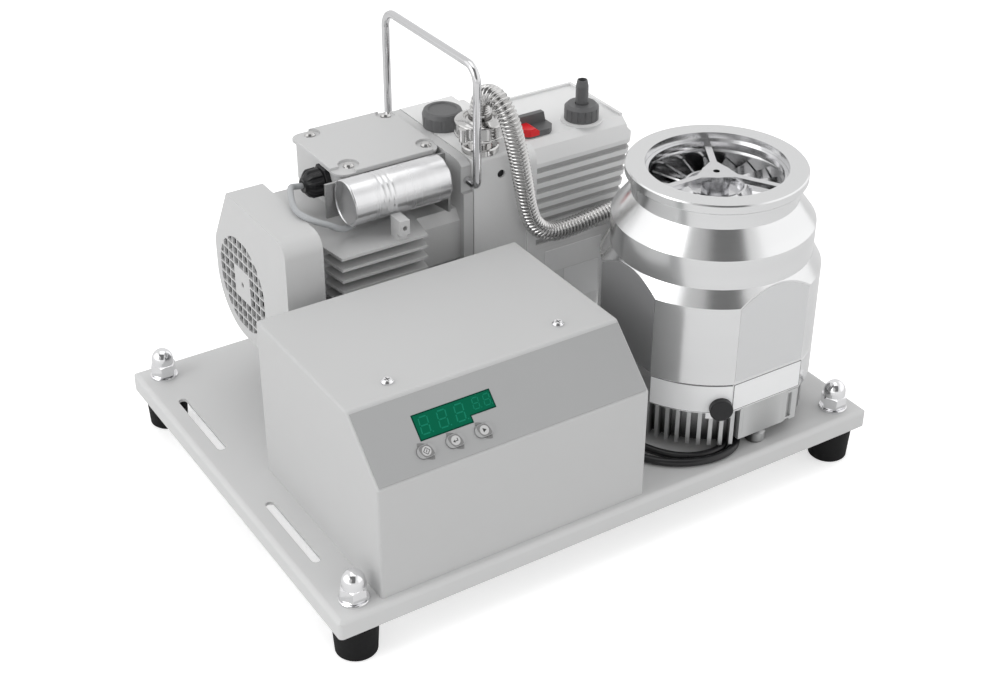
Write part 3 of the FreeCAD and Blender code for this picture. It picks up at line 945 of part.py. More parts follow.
def buildPumpTrim():
    axis, spot = sightPlace()
    bezel = Part.makeCylinder(S.sightRadius, S.sightSink + S.sightProud, spot - axis * S.sightSink, axis)
    dish = Part.makeCylinder(S.sightGlass, S.sightProud, spot + axis * (S.sightProud - 1.2), axis)
    piece(solid("SightGlass", bezel.cut(dish)), "sight_glass")

    cap = revolved("FillerTurn", [("0", "-fillerDepth"), ("fillerStem", "-fillerDepth"), ("fillerStem", "0"),
                                  ("fillerRadius - 1", "0"), ("fillerRadius - 0.4", "fillerTall - 4"),
                                  ("fillerRadius - 1.6", "fillerTall - 0.8"), ("fillerRadius - 3", "fillerTall"),
                                  ("fillerRadius - 5", "fillerTall"), ("fillerRadius - 5.6", "fillerTall - 0.9"),
                                  ("0", "fillerTall - 0.9")], "fillerX", "fillerY", "blockTop")
    doc.recompute()
    dents = []
    for k in range(12):
        angle = math.radians(30 * k)
        dents.append(Part.makeCylinder(S.fillerLobe, 9,
                                       Vector(S.fillerX + (S.fillerRadius + 2.2) * math.cos(angle),
                                              S.fillerY + (S.fillerRadius + 2.2) * math.sin(angle), S.blockTop + 1)))
    piece(cut("FillerPlug", cap, solid("FillerDents", Part.makeCompound(dents))), "filler_plug")

    seat = "oilTop + nozzleBossTall"
    nut = revolved("NozzleNutTurn", [("nozzleFlange + 0.1", "0"), ("nutRadius", "0"), ("nutRadius", "nutTall - 2.4"),
                                     ("nutRadius - 2.4", "nutTall"), ("barbRadius + 0.3", "nutTall"),
                                     ("barbRadius + 0.3", "nozzleFlangeTall + 0.1"),
                                     ("nozzleFlange + 0.1", "nozzleFlangeTall + 0.1")], "nozzleX", "nozzleY", seat)
    doc.recompute()
    flutes = []
    for k in range(16):
        angle = math.radians(22.5 * k)
        flutes.append(Part.makeCylinder(1, 9, Vector(S.nozzleX + (S.nutRadius + 0.5) * math.cos(angle),
                                                     S.nozzleY + (S.nutRadius + 0.5) * math.sin(angle),
                                                     S.oilTop + S.nozzleBossTall + 0.8)))
    piece(cut("NozzleNut", nut, solid("NutFlutes", Part.makeCompound(flutes))), "nozzle_nut")
    top = "nutTall + barbTall"
    nozzle = revolved("NozzleTurn", [("barbBore", "-outletDepth + 1"), ("outletStem", "-outletDepth + 1"),
                                     ("outletStem", "0"), ("nozzleFlange", "0"), ("nozzleFlange", "nozzleFlangeTall"),
                                     ("barbRadius - 0.2", "nozzleFlangeTall"), ("barbRadius - 0.2", "nutTall + 0.5"),
                                     ("barbRadius", "nutTall + 1"), ("barbRadius", f"{top} - 5"), ("barbTip", top),
                                     ("barbBore", top)],
                      "nozzleX", "nozzleY", seat)
    piece(nozzle, "outlet_nozzle")

    base = "oilTop + leverLift"
    roundPad = cylinder("LeverRound", "leverRadius", "leverTall", "leverX", "leverY", base)
    square = block("LeverSquare", "leverLength", "leverWidth", "leverTall", "leverX - leverLength / 2",
                   "leverY - leverWidth / 2", base)
    fence = prism("LeverFence", "XZ_Plane", [("leverX - fenceLength / 2", f"{base} + leverTall - 1"),
                                             ("leverX + fenceLength / 2 + 1", f"{base} + leverTall - 1"),
                                             ("leverX + fenceLength / 2 - 1", f"{base} + fenceTall"),
                                             ("leverX - fenceLength / 2 + 3", f"{base} + fenceTall")],
                  "leverY - fenceThick / 2", "fenceThick")
    spindle = cylinder("LeverSpindle", "spindleRadius", "spindleDepth + leverLift + 1", "leverX", "leverY",
                       "oilTop - spindleDepth")
    room = block("GripRoom", "leverLength", "leverWidth", "fenceTall", "leverX - leverLength - 0.5",
                 "leverY - leverWidth - fenceThick / 2", f"{base} + 1.2")
    lever = joined("LeverForm", common("LeverPad", roundPad, square), fence, spindle)
    piece(cut("BallastLever", lever, room), "ballast_lever")
    grip = prism("LeverGrip", "XZ_Plane", [("leverX - leverLength / 2", f"{base} + 1.2"), ("leverX - 0.5", f"{base} + 1.2"),
                                           ("leverX - 0.5", f"{base} + gripTall - 2.5"),
                                           ("leverX - 4", f"{base} + gripTall"),
                                           ("leverX - leverLength / 2", f"{base} + gripTall")],
                 "leverY - leverWidth / 2", "leverWidth / 2 - fenceThick / 2")
    slope = cylinder("GripRound", "leverRadius", "fenceTall", "leverX", "leverY", base)
    piece(common("LeverInsert", grip, slope), "lever_insert")

    rubber = cylinder("PumpPad", "padRadius", "pumpBase - plateTop", z="plateTop")
    spots = [Placement(Vector(x, S.pumpY + side * y, 0), Rotation())
             for x, y in ((S.blockLeft + 12, S.blockHalf - 14), (S.blockLeft + S.blockLength + 60, S.oilHalf - 14))
             for side in (-1, 1)]
    piece(copies("PumpPads", rubber, spots), "pump_feet")


# Motor: finned housing, fan, shaft, terminal box, capacitor and handle

def buildMotorHousing():
    bodyLength = "motorEnd - motorLeft"
    barrel = cylinder("MotorBarrel", "shellRadius", bodyLength, "motorLeft", "pumpY", "pumpZ", "X")
    saddle = prism("MotorSaddle", "YZ_Plane", [("saddleFront", "pumpZ"), ("pumpY + 20", "pumpZ"),
                                               ("pumpY + 40", "saddleTop"), ("saddleFront + 6", "saddleTop"),
                                               ("saddleFront", "saddleTop - 8")], "motorLeft", bodyLength)
    seat = prism("BoxSeat", "YZ_Plane", [("boxSouth + 3", "pumpZ"), ("pumpY + boxSeat", "pumpZ"),
                                         ("boxNorth - 6", "boxLidBase - 30"), ("boxSouth + 3", "boxLidBase - 30")],
                 "boxWest + 3", "boxEast - boxWest - 3")
    flange = prism("MotorFlange", "YZ_Plane", [("pumpY - blockHalf", "pumpBase"), ("pumpY + blockHalf", "pumpBase"),
                                               ("pumpY + blockHalf", "blockTop"), ("pumpY - blockHalf", "blockTop")],
                   "motorEnd", "blockLeft - seamGap - motorEnd")
    length = Vector(1, 0, 0)
    rounded(flange, "FlangeCorner", "flangeCorner",
            lambda edge: alongAxis(edge, length) and middle(edge).z > S.pumpZ and middle(edge).y < S.pumpY)
    rounded(flange, "FlangeEdges", "flangeEdge",
            lambda edge: alongAxis(edge, length) and abs(abs(middle(edge).y - S.pumpY) - S.blockHalf) < 0.01
            and (middle(edge).z < S.pumpBase + 0.01 or middle(edge).z > S.blockTop - 0.01))
    near, far = "(pumpY - blockHalf + seamDepth)", "(pumpY + blockHalf - seamDepth)"
    seam = prism("FlangeSeam", "YZ_Plane", [(near, "pumpBase + seamDepth"), (far, "pumpBase + seamDepth"),
                                            (far, "blockTop - seamDepth"), (near, "blockTop - seamDepth")],
                 "motorEnd", "blockLeft - motorEnd")
    rounded(seam, "SeamEdges", "flangeCorner - seamDepth", lambda edge: alongAxis(edge, length))
    notches = [block("HandleNotch", "blockLeft - motorEnd + 1", "notchDepth + 1", "notchTop - notchLow",
                     "motorEnd - 1", f"pumpY + {place}", "notchLow")
               for place in ("(-blockHalf - 1)", "blockHalf - notchDepth")]
    fins = []
    for k in range(int(S.frontFins)):
        z = f"finFirst - finGap * {k}"
        fins.append(finPlate(f"FrontFin{k}", z, "pumpY", "pumpY - finReach"))
        fins.append(finPlate(f"BackFin{k}", z, "pumpY", "pumpY + backReach"))
    lug = joined("MotorLug", block("LugFace", "lugSide", "lugDepth + lugStep", "lugTall", "lugX - lugSide / 2",
                                   "pumpY - lugReach", "lugTop - lugTall"),
                 block("LugWeb", "lugSide", "lugDepth", "lugTop - finFirst", "lugX - lugSide / 2",
                       "pumpY - lugReach + lugStep", "finFirst"))
    form = joined("MotorForm", barrel, saddle, seat, flange, seam, lug, *fins)
    bore = cylinder("MotorBore", "shellBore", "motorEnd - motorLeft - 2 * endWall", "motorLeft + endWall", "pumpY",
                    "pumpZ", "X")
    shaftHole = cylinder("MotorShaftHole", "motorShaft + 1", "blockLeft - motorLeft + 2", "motorLeft - 1", "pumpY",
                         "pumpZ", "X")
    seats = [cylinder("BearingSeat", "bearingOuter", "motorBearingWidth", x, "pumpY", "pumpZ", "X")
             for x in ("motorLeft", "blockLeft - motorBearingWidth")]
    sockets = [cylinder("HandleSocket", "rodRadius + runGap", "socketDepth + notchDepth + 1", "handleX",
                        f"pumpY + {place}", "handleFoot", "Y")
               for place in ("(-blockHalf - 1)", "blockHalf - notchDepth - socketDepth")]
    lugBore = cylinder("LugBore", "lugHole", "12", "lugX", "pumpY - lugReach - 1", "lugTop - 6", "Y")
    piece(cut("MotorHousing", form, bore, shaftHole, lugBore, *seats, *notches, *sockets), "motor_housing")


def finPlate(name, z, root, tip):
    """Long cooling fin with slanted ends, lying flat."""
    return prism(name, "XY_Plane", [("finRootLeft", root), ("finRootRight", root), ("finTipRight", tip),
                                    ("finTipLeft", tip)], f"{z} - finPlate / 2", "finPlate")


def coverPrism(name, start, length, inset, radius):
    front = f"pumpY - coverFront + {inset}"
    back = f"pumpY + coverBack - {inset}"
    low = f"pumpZ - coverDrop + {inset}"
    body = prism(name, "YZ_Plane", [(front, low), (back, low), (back, "pumpZ + coverShoulder"),
                                    (f"pumpY + coverTopBack - {inset} * 0.6", f"pumpZ + coverRise - {inset}"),
                                    (front, f"pumpZ + coverRise - {inset}")], start, length)
    length = Vector(1, 0, 0)
    rounded(body, name + "Round", radius,
            lambda edge: alongAxis(edge, length) and middle(edge).y > S.pumpY + 30 and middle(edge).z < S.pumpZ)
    rounded(body, name + "Shoulder", "coverRound / 2",
            lambda edge: alongAxis(edge, length) and abs(middle(edge).z - S.pumpZ - S.coverShoulder) < 0.5)
    return body


def buildFanCover():
    outer = coverPrism("CoverShell", "coverLeft", "motorLeft - coverLeft", "0", "coverRound")
    inner = coverPrism("CoverRoom", "coverLeft + coverWall", "motorLeft - coverLeft", "coverWall",
                       "coverRound - coverWall")
    for form, name, radius in ((outer, "CoverFrontEdges", "coverEdge"),
                               (inner, "CoverRoomEdges", "coverEdge - coverWall")):
        rounded(form, name, radius,
                lambda edge: alongAxis(edge, Vector(1, 0, 0)) and middle(edge).y < S.pumpY - 60)
    doc.recompute()
    holes = []
    disc = Part.makeCylinder(S.grilleRadius, S.coverWall + 2, Vector(S.coverLeft - 1, S.pumpY, S.pumpZ),
                             Vector(1, 0, 0))
    count = int(S.grilleRadius / S.grillePitch) + 1
    for row in range(-count, count + 1):
        for column in range(-count, count + 1):
            across, up = column * S.grillePitch, row * S.grillePitch
            centred = max(abs(across), abs(up)) < S.grilleBlank and abs(across) + abs(up) < S.blankCorner
            if centred or math.hypot(across, up) > S.grilleRadius + 1:
                continue
            hole = Part.makeBox(S.coverWall + 2, S.grilleHole, S.grilleHole,
                                Vector(S.coverLeft - 1, S.pumpY + across - S.grilleHole / 2,
                                       S.pumpZ + up - S.grilleHole / 2)).common(disc)
            if hole.Volume > 12:
                holes.append(hole)
    grille = solid("GrilleHoles", Part.makeCompound(holes))
    eye = cylinder("CoverEye", "coverHole", "coverWall + 2", "coverLeft - 1", "pumpY", "pumpZ", "X")
    piece(cut("FanCover", outer, inner, grille, eye), "fan_cover")


def buildMotorInside():
    end = "blockLeft + rotorSetback + rotorLength"
    slim = "blockLeft + rotorSetback"
    shaft = joined("ShaftForm",
                   cylinder("ShaftMain", "motorShaft", f"{slim} - fanLeft", "fanLeft", "pumpY", "pumpZ", "X"),
                   cylinder("ShaftStub", "stubRadius", f"{end} - ({slim})", slim, "pumpY", "pumpZ", "X"))
    core = cylinder("CoreDisc", "coreRadius", "coreRight - coreLeft", "coreLeft", "pumpY", "pumpZ", "X")
    piece(joined("MotorRotor", shaft, core), "motor_rotor")
    span = "coreRight - coreLeft"
    winding = revolved("WindingTurn", [("windingInner + 2", "-8"), ("shellBore - 4", "-8"), ("shellBore - 4", "0"),
                                       ("shellBore", "0"), ("shellBore", span), ("shellBore - 4", span),
                                       ("shellBore - 4", f"{span} + 8"), ("windingInner + 2", f"{span} + 8"),
                                       ("windingInner", span), ("windingInner", "0")],
                       "coreLeft", "pumpY", "pumpZ", "X")
    piece(winding, "motor_stator")
    race = revolved("RaceTurn", [("motorShaft + runGap", "0"), ("bearingOuter", "0"),
                                 ("bearingOuter", "motorBearingWidth"), ("motorShaft + runGap", "motorBearingWidth")],
                    axis="X")
    spots = [Placement(Vector(x, S.pumpY, S.pumpZ), Rotation())
             for x in (S.motorLeft, S.blockLeft - S.motorBearingWidth)]
    piece(copies("Races", race, spots), "motor_bearings")

    hub = revolved("FanHub", [("motorShaft", "0"), ("fanHub", "0"), ("fanHub", "fanWidth"),
                              ("motorShaft", "fanWidth")], "fanLeft", "pumpY", "pumpZ", "X")
    doc.recompute()
    blades = []
    for k in range(int(S.fanBlades)):
        blade = Part.makeBox(S.fanWidth, S.fanThick, S.fanTip - S.fanHub + 1,
                             Vector(0, -S.fanThick / 2, S.fanHub - 1))
        blade.Placement = Placement(Vector(S.fanLeft, S.pumpY, S.pumpZ),
                                    Rotation(Vector(1, 0, 0), 360.0 * k / S.fanBlades))
        blades.append(blade)
    piece(solid("CoolingFan", hub.Shape.multiFuse(blades).removeSplitter()), "cooling_fan")


def buildTerminalBox():
    low = "boxLidBase - 30"
    corners = [("boxWest", "boxSouth"), ("boxEast", "boxSouth"), ("boxEast", "boxNorth"), ("boxWest", "boxNorth")]
    upright = Vector(0, 0, 1)
    outer = prism("TerminalOuter", "XY_Plane", corners, low, "30")
    rounded(outer, "TerminalCorners", "lidCorner", lambda edge: alongAxis(edge, upright))
    inner = prism("TerminalInner", "XY_Plane",
                  [("boxWest + boxSkin", "boxSouth + boxSkin"), ("boxEast - boxSkin", "boxSouth + boxSkin"),
                   ("boxEast - boxSkin", "boxNorth - boxSkin"), ("boxWest + boxSkin", "boxNorth - boxSkin")],
                  f"{low} + boxSkin", "30")
    rounded(inner, "TerminalRoomCorners", "lidCorner - boxSkin", lambda edge: alongAxis(edge, upright))
    glandHole = cylinder("GlandHole", "glandNeck + 0.1", "boxSkin + 4", "boxWest - 2", "glandY", "glandZ", "X")
    corner = [(a * S.lidPitchX / 2, b * S.lidPitchY / 2) for a in (-1, 1) for b in (-1, 1)]
    bosses = [cylinder("LidBoss", "5", "28 - boxSkin", f"lidMidX + {x}", f"lidMidY + {y}", f"{low} + boxSkin")
              for x, y in corner]
    threads = [cylinder("LidThread", "lidScrewStem + 0.02", "12", f"lidMidX + {x}", f"lidMidY + {y}",
                        "boxLidBase - 11.9") for x, y in corner]
    shell = cut("TerminalShell", outer, inner, glandHole)
    topped = [cylinder("LidBossTop", "5", "2", f"lidMidX + {x}", f"lidMidY + {y}", "boxLidBase - 2")
              for x, y in corner]
    piece(cut("TerminalBox", joined("TerminalForm", shell, *bosses, *topped), *threads), "terminal_box")

    sheetCorners = [("boxWest - lidEdge", "boxSouth - lidEdge"), ("boxEast", "boxSouth - lidEdge"),
                    ("boxEast", "boxNorth + lidEdge"), ("boxWest - lidEdge", "boxNorth + lidEdge")]
    lid = prism("LidSheet", "XY_Plane", sheetCorners, "boxLidBase", "lidTop - boxLidBase")
    rounded(lid, "LidCorners", "lidCorner", lambda edge: alongAxis(edge, upright))
    rounded(lid, "LidEdge", "0.8", lambda edge: middle(edge).z > S.lidTop - 0.01)
    recesses = [cylinder("LidRecess", "recessRadius", "3", f"lidMidX + {x}", f"lidMidY + {y}",
                         "lidTop - lidRecess") for x, y in corner]
    corners = [block("LidRecessCorner", "lidCorner + 6", "lidCorner + 6", "3",
                     f"lidMidX + {x} - (lidCorner + 6) / 2 + {math.copysign(8, x)}",
                     f"lidMidY + {y} - (lidCorner + 6) / 2 + {math.copysign(8, y)}", "lidTop - lidRecess")
               for x, y in corner]
    holes = [cylinder("LidHole", "lidScrewStem + 0.2", "6", f"lidMidX + {x}", f"lidMidY + {y}", "boxLidBase - 1")
             for x, y in corner]
    steps = [joined("LidStep", one, two) for one, two in zip(recesses, corners)]
    piece(cut("TerminalLid", lid, *steps, *holes), "terminal_lid")
    seat = "lidTop - lidRecess"
    head = revolved("LidScrewTurn", [("0", seat), ("lidScrewHead", seat), ("lidScrewHead - 0.3", f"{seat} + 0.9"),
                                     ("lidScrewHead - 1.6", f"{seat} + lidScrewTall"),
                                     ("0", f"{seat} + lidScrewTall")])
    stem = cylinder("LidScrewStem", "lidScrewStem", "lidScrewDepth + 0.5", z=f"{seat} - lidScrewDepth")
    piece(copies("LidScrews", joined("LidScrew", head, stem),
                 [Placement(Vector(S.lidMidX + x, S.lidMidY + y, 0), Rotation()) for x, y in corner]),
          "lid_screws")

    nut = hexagon("GlandNut", "glandFlats", "glandLength", "boxWest - glandSeat", "glandY", "glandZ", "-X")
    washer = cylinder("GlandWasher", "glandFlats / 2", "glandSeat", "boxWest", "glandY", "glandZ", "-X")
    dome = cone("GlandDome", "glandFlats / 2 - 1", "glandTip", "glandSeat + 2",
                "boxWest - glandSeat - glandLength", "glandY", "glandZ", "-X")
    neck = cylinder("GlandThread", "glandNeck", "boxSkin + glandSeat", "boxWest - 1", "glandY", "glandZ", "X")
    wireHole = cylinder("GlandWireHole", "wireRadius", "60", "boxWest - 50", "glandY", "glandZ", "X")
    piece(cut("CableGland", joined("GlandForm", nut, washer, dome, neck), wireHole), "cable_gland")


def buildCapacitor():
    can = revolved("CanTurn", [("0", "0"), ("capRadius - capEdge", "0"), ("capRadius", "capEdge * 0.6"),
                               ("capRadius", "capRight - capLeft - 6"), ("capRadius - 1", "capRight - capLeft - 3"),
                               ("capRadius - 1", "capRight - capLeft"), ("capStud", "capRight - capLeft"),
                               ("capStud", "capRight - capLeft + 1.9"), ("0", "capRight - capLeft + 1.9")],
                   "capLeft", "capY", "capZ", "X")
    piece(can, "capacitor")
    rear = "capY + capRadius + 0.3"
    plate = block("BracketPlate", "motorEnd - bracketLeft", "bracketGauge", "bracketTop - bracketBase", "bracketLeft",
                  rear, "bracketBase")
    face = prism("BracketFace", "YZ_Plane", [("bracketFront", "bracketBase - 6"), (f"{rear} + bracketGauge",
                                             "bracketBase - 10"), (f"{rear} + bracketGauge", "bracketTop"),
                                             ("bracketFront + 10", "bracketTop"), ("bracketFront", "bracketTop - 10")],
                 "capRight", "bracketGauge")
    hole = cylinder("BracketHole", "capStud + 0.1", "bracketGauge + 2", "capRight - 1", "capY", "capZ", "X")
    slot = cylinder("BracketSlot", "4", "bracketGauge + 2", "capRight - 1", "capY - 1", "capZ - 13", "X")
    piece(cut("CapacitorBracket", joined("BracketForm", plate, face), hole, slot), "capacitor_bracket")


def wireRoute():
    tip = S.boxWest - S.glandSeat * 2 - S.glandLength - 2
    low = S.capZ - S.capRadius - S.wireRadius - 1
    return [(tip, S.glandY, S.glandZ), (tip - 5.5, S.glandY, S.glandZ + 0.8), (tip - 11, S.glandY - 4, S.glandZ + 4),
            (tip - 15.5, S.glandY - 12, S.glandZ + 5.6), (-122.8, 78.5, 207.8), (-126.3, 68, 206.6),
            (-127.8, 57.5, 206), (-125.5, 48.5, 205.3), (-118.8, 43.6, 202), (-109.5, 45.3, 196.6),
            (-101, 50, 189), (-91.5, 55.8, low - 0.6), (-77.5, 62, low), (-61, 65.8, low), (-44, 67.4, low), (-28, 66.8, low),
            (S.capRight, 66.8, low)]


def buildWire():
    shape, length, radii = tubeAlong(wireRoute(), S.wireRadius)
    print("capacitor cable length", round(length, 1), "radii", [round(value, 1) for value in radii],
          "volume ratio", round(shape.Volume / (math.pi * S.wireRadius ** 2 * length), 4))
    piece(solid("CapacitorCable", shape), "capacitor_cable")


def buildHandle():
    x = S.handleX
    low = S.handleFoot
    top = S.handleTop
    diagonal = 1 - math.sqrt(0.5)

    def side(sign):
        outer = S.pumpY + sign * S.handleHalf
        tip = S.pumpY + sign * (S.blockHalf - S.notchDepth - S.socketDepth + 0.5)
        return [Vector(x, tip, low), Vector(x, outer - sign * S.footBend, low),
                Vector(x, outer - sign * S.footBend * diagonal, low + S.footBend * diagonal),
                Vector(x, outer, low + S.footBend), Vector(x, outer, top - S.handleBend),
                Vector(x, outer - sign * S.handleBend * diagonal, top - S.handleBend * diagonal),
                Vector(x, outer - sign * S.handleBend, top)]

    front, back = side(-1), side(1)
    edges = []
    for spots in (front, back):
        edges.append([Part.LineSegment(spots[0], spots[1]).toShape(),
                      Part.Arc(spots[1], spots[2], spots[3]).toShape(),
                      Part.LineSegment(spots[3], spots[4]).toShape(),
                      Part.Arc(spots[4], spots[5], spots[6]).toShape()])
    bar = Part.LineSegment(front[-1], back[-1]).toShape()
    path = Part.Wire(edges[0] + [bar] + edges[1][::-1])
    ring = Part.Wire([Part.Circle(front[0], Vector(0, 1, 0), S.rodRadius).toShape()])
    piece(solid("LiftingHandle", path.makePipeShell([ring], True, False)), "lifting_handle")


# Cable from the controller to the turbo pump, laid on the plate

def cableRoute():
    """From the controller's rear, forward past its side, around and under the turbo pump and up into its base."""
    lie = S.plateTop + S.cableRadius + 0.1
    x = S.boxLeft + S.linkLeft
    y = S.boxFront + S.boxDepth + S.plugTail
    z = S.plateTop + S.linkHeight
    nest = S.ringBase - S.deckThick - S.plugTail
    laid = [(-97, 76), (-95, 52), (-95, 24), (-95.5, -4), (-94.2, -26), (-90.8, -39.5), (-84.8, -50.5),
            (-76.4, -59.8), (-65.4, -67.3), (-52.4, -72.6), (-38.4, -74.6), (-24.9, -72), (-14.9, -64), (-9, -51),
            (-9, -28), (-17, -6), (-32, 17), (-49, 35), (-65, 45), (-78, 43), (-84, 31), (-85, 12), (-84, -10),
            (-82.2, -25), (-78.2, -38), (-72, -49.5), (-63.2, -59.6), (-51.6, -65.9), (-38.6, -68), (-28, -65),
            (-22.2, -57)]
    return ([(x, y, z), (x, y + 8, z), (x + 4, y + 16, z - 6), (x + 14, y + 20, z - 17), (x + 28, y + 17, lie + 1),
             (x + 40, y + 6, lie)] + [(S.turboX + a, S.turboY + b, lie) for a, b in laid] +
            [(S.nestX, S.nestY - 9, lie), (S.nestX, S.nestY, nest - 9), (S.nestX, S.nestY, nest)])


def buildCable():
    shape, length, radii = tubeAlong(cableRoute(), S.cableRadius)
    print("turbo cable length", round(length, 1), "radii", [round(value, 1) for value in radii],
          "volume ratio", round(shape.Volume / (math.pi * S.cableRadius ** 2 * length), 4))
    piece(solid("TurboCable", shape), "turbo_cable")
    plug = revolved("PlugTurn", [("0", "-linkDepth"), ("plugBody - 1.2", "-linkDepth"), ("plugBody - 1.2", "0.3"),
                                 ("plugBody", "0.3"), ("plugBody", "plugTail - 8"),
                                 ("cableRadius + 1", "plugTail - 0.2"), ("0", "plugTail - 0.2")])
    doc.recompute()
    rear = Placement(Vector(S.boxLeft + S.linkLeft, S.boxFront + S.boxDepth, S.plateTop + S.linkHeight),
                     axisTurns["Y"])
    under = Placement(Vector(S.nestX, S.nestY, S.ringBase - S.deckThick), Rotation(Vector(1, 0, 0), 180))
    piece(copies("CablePlugs", plug, [rear, under]), "cable_plugs")


def checkModel():
    doc.recompute()
    faults = []
    for item in doc.Objects:
        if any(word in ("Invalid", "Error") for word in item.State):
            faults.append((item.Name, item.State))
    for item in nodes:
        if item.Shape.isNull() or not item.Shape.isValid():
            faults.append((item.Label, "bad shape"))
    if faults:
        raise RuntimeError(f"model faults: {faults}")


def main():
    buildPlate()
    buildFeet()
    buildController()
    buildControllerInside()
    buildTurboCase()
    buildTurboBase()
    buildTurboRotor()
    buildLine()
    buildHose()
    buildPumpBlock()
    buildOilBox()
    buildPumpTrim()
    buildMotorHousing()
    buildFanCover()
    buildMotorInside()
    buildTerminalBox()
    buildCapacitor()
    buildWire()
    buildHandle()
    buildCable()
    checkModel()
    os.makedirs("parts", exist_ok=True)
    for item in nodes:
        item.Shape.exportStep(f"parts/{item.Label}.step")
    print(len(nodes), "nodes written")


main()
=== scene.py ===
import math

import bmesh
import bpy
import numpy as np
from mathutils import Matrix, Vector


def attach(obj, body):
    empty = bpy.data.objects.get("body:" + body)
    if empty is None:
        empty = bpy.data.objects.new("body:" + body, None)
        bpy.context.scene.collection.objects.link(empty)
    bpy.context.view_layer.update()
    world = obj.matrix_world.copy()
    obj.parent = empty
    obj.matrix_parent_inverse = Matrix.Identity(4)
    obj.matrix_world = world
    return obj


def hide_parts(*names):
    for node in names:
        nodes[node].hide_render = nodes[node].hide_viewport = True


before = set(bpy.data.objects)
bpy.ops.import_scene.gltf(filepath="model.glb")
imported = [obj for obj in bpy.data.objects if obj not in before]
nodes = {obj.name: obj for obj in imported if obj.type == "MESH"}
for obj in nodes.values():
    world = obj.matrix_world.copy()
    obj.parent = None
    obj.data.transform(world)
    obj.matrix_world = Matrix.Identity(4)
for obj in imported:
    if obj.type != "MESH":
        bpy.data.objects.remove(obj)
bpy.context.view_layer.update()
print("frame loaded:", len(nodes), "nodes")

mm = 0.001  # every dictionary below is in millimetres


# Camera: the photograph's view, solved from the plate's edges

cameraView = {
    "place": (-574.6, -903.4, 764.4),
    "right": (0.84310126, -0.53773743, 0.00432611),
    "up": (0.28388862, 0.45190345, 0.84568938),
    "ahead": (0.45671382, 0.71177365, -0.5336579),
    "lens": 60.51,
    "sensor": 36,
}


def aimCamera(view):
    camera = bpy.data.objects.new("camera", bpy.data.cameras.new("camera"))
    bpy.context.scene.collection.objects.link(camera)
    camera.data.lens = view["lens"]
    camera.data.sensor_width = view["sensor"]
    camera.data.clip_end = 20
    turn = Matrix((view["right"], view["up"], [-value for value in view["ahead"]])).transposed()
    camera.matrix_world = Matrix.Translation(Vector(view["place"]) * mm) @ turn.to_4x4()
    bpy.context.scene.camera = camera


aimCamera(cameraView)


# Node helpers for the materials

def mathNode(tree, operation, first, second):
    # One number made of two, each a socket or a plain value
    node = tree.nodes.new("ShaderNodeMath")
    node.operation = operation
    for value, socket in zip((first, second), node.inputs):
        if isinstance(value, (int, float)):
            socket.default_value = value
        else:
            tree.links.new(value, socket)
    return node.outputs[0]


class Paint:
    # Short ways to add and join shader nodes of one material

    def __init__(self, name):
        self.material = bpy.data.materials.new(name)
        self.material.use_nodes = True
        self.tree = self.material.node_tree
        self.shader = self.tree.nodes["Principled BSDF"]
        self.place = self.add("ShaderNodeTexCoord").outputs["Object"]
        split = self.add("ShaderNodeSeparateXYZ")
        self.join(self.place, split.inputs["Vector"])
        self.across, self.height = split.outputs["X"], split.outputs["Z"]

    def add(self, kind, **settings):
        node = self.tree.nodes.new(kind)
        for key, value in settings.items():
            setattr(node, key, value)
        return node

    def join(self, out, into):
        self.tree.links.new(out, into)

    def set(self, **values):
        for key, value in values.items():
            self.shader.inputs[key.replace("_", " ")].default_value = value

    def noise(self, scale, detail=3, stretch=(1, 1, 1), rough=0.5):
        spread = self.add("ShaderNodeMapping")
        spread.inputs["Scale"].default_value = stretch
        self.join(self.place, spread.inputs["Vector"])
        cloud = self.add("ShaderNodeTexNoise")
        cloud.inputs["Scale"].default_value = scale
        cloud.inputs["Detail"].default_value = detail
        cloud.inputs["Roughness"].default_value = rough
        self.join(spread.outputs["Vector"], cloud.inputs["Vector"])
        return cloud.outputs["Fac"]

    def span(self, value, low, high, start=0.0, stop=1.0):
        remap = self.add("ShaderNodeMapRange")
        for key, number in (("From Min", start), ("From Max", stop), ("To Min", low), ("To Max", high)):
            remap.inputs[key].default_value = number
        self.join(value, remap.inputs["Value"])
        return remap.outputs["Result"]

    def tint(self, value, first, second):
        mix = self.add("ShaderNodeMix", data_type="RGBA")
        mix.inputs["A"].default_value = (*first, 1)
        mix.inputs["B"].default_value = (*second, 1)
        self.join(value, mix.inputs["Factor"])
        return mix.outputs["Result"]

    def color(self, out):
        self.join(out, self.shader.inputs["Base Color"])

    def rough(self, out):
        self.join(out, self.shader.inputs["Roughness"])

    def bump(self, height, strength, depth):
        relief = self.add("ShaderNodeBump")
        relief.inputs["Strength"].default_value = strength
        relief.inputs["Distance"].default_value = depth * mm
        self.join(height, relief.inputs["Height"])
        self.join(relief.outputs["Normal"], self.shader.inputs["Normal"])


def powderCoat(name, color, grain=900, depth=0.06, rough=0.5):
    # Powder coat or paint: fine orange peel and a faint change of tone
    paint = Paint(name)
    tone = paint.noise(9, 4)
    paint.color(paint.tint(tone, color, [value * 0.95 for value in color]))
    paint.rough(paint.span(paint.noise(40), rough - 0.06, rough + 0.06))
    paint.bump(paint.noise(grain, 2), 0.35, depth)
    return paint.material


# Where the oil box's grooves lie; shade is how far the painted shade in them darkens the paint
paintedGrooveShade = {
    "top": 188.5, "pitch": 8.9, "tall": 4.6, "count": 8, "left": 71, "soft": 0.5, "shade": 0.6, "margin": 1,
}


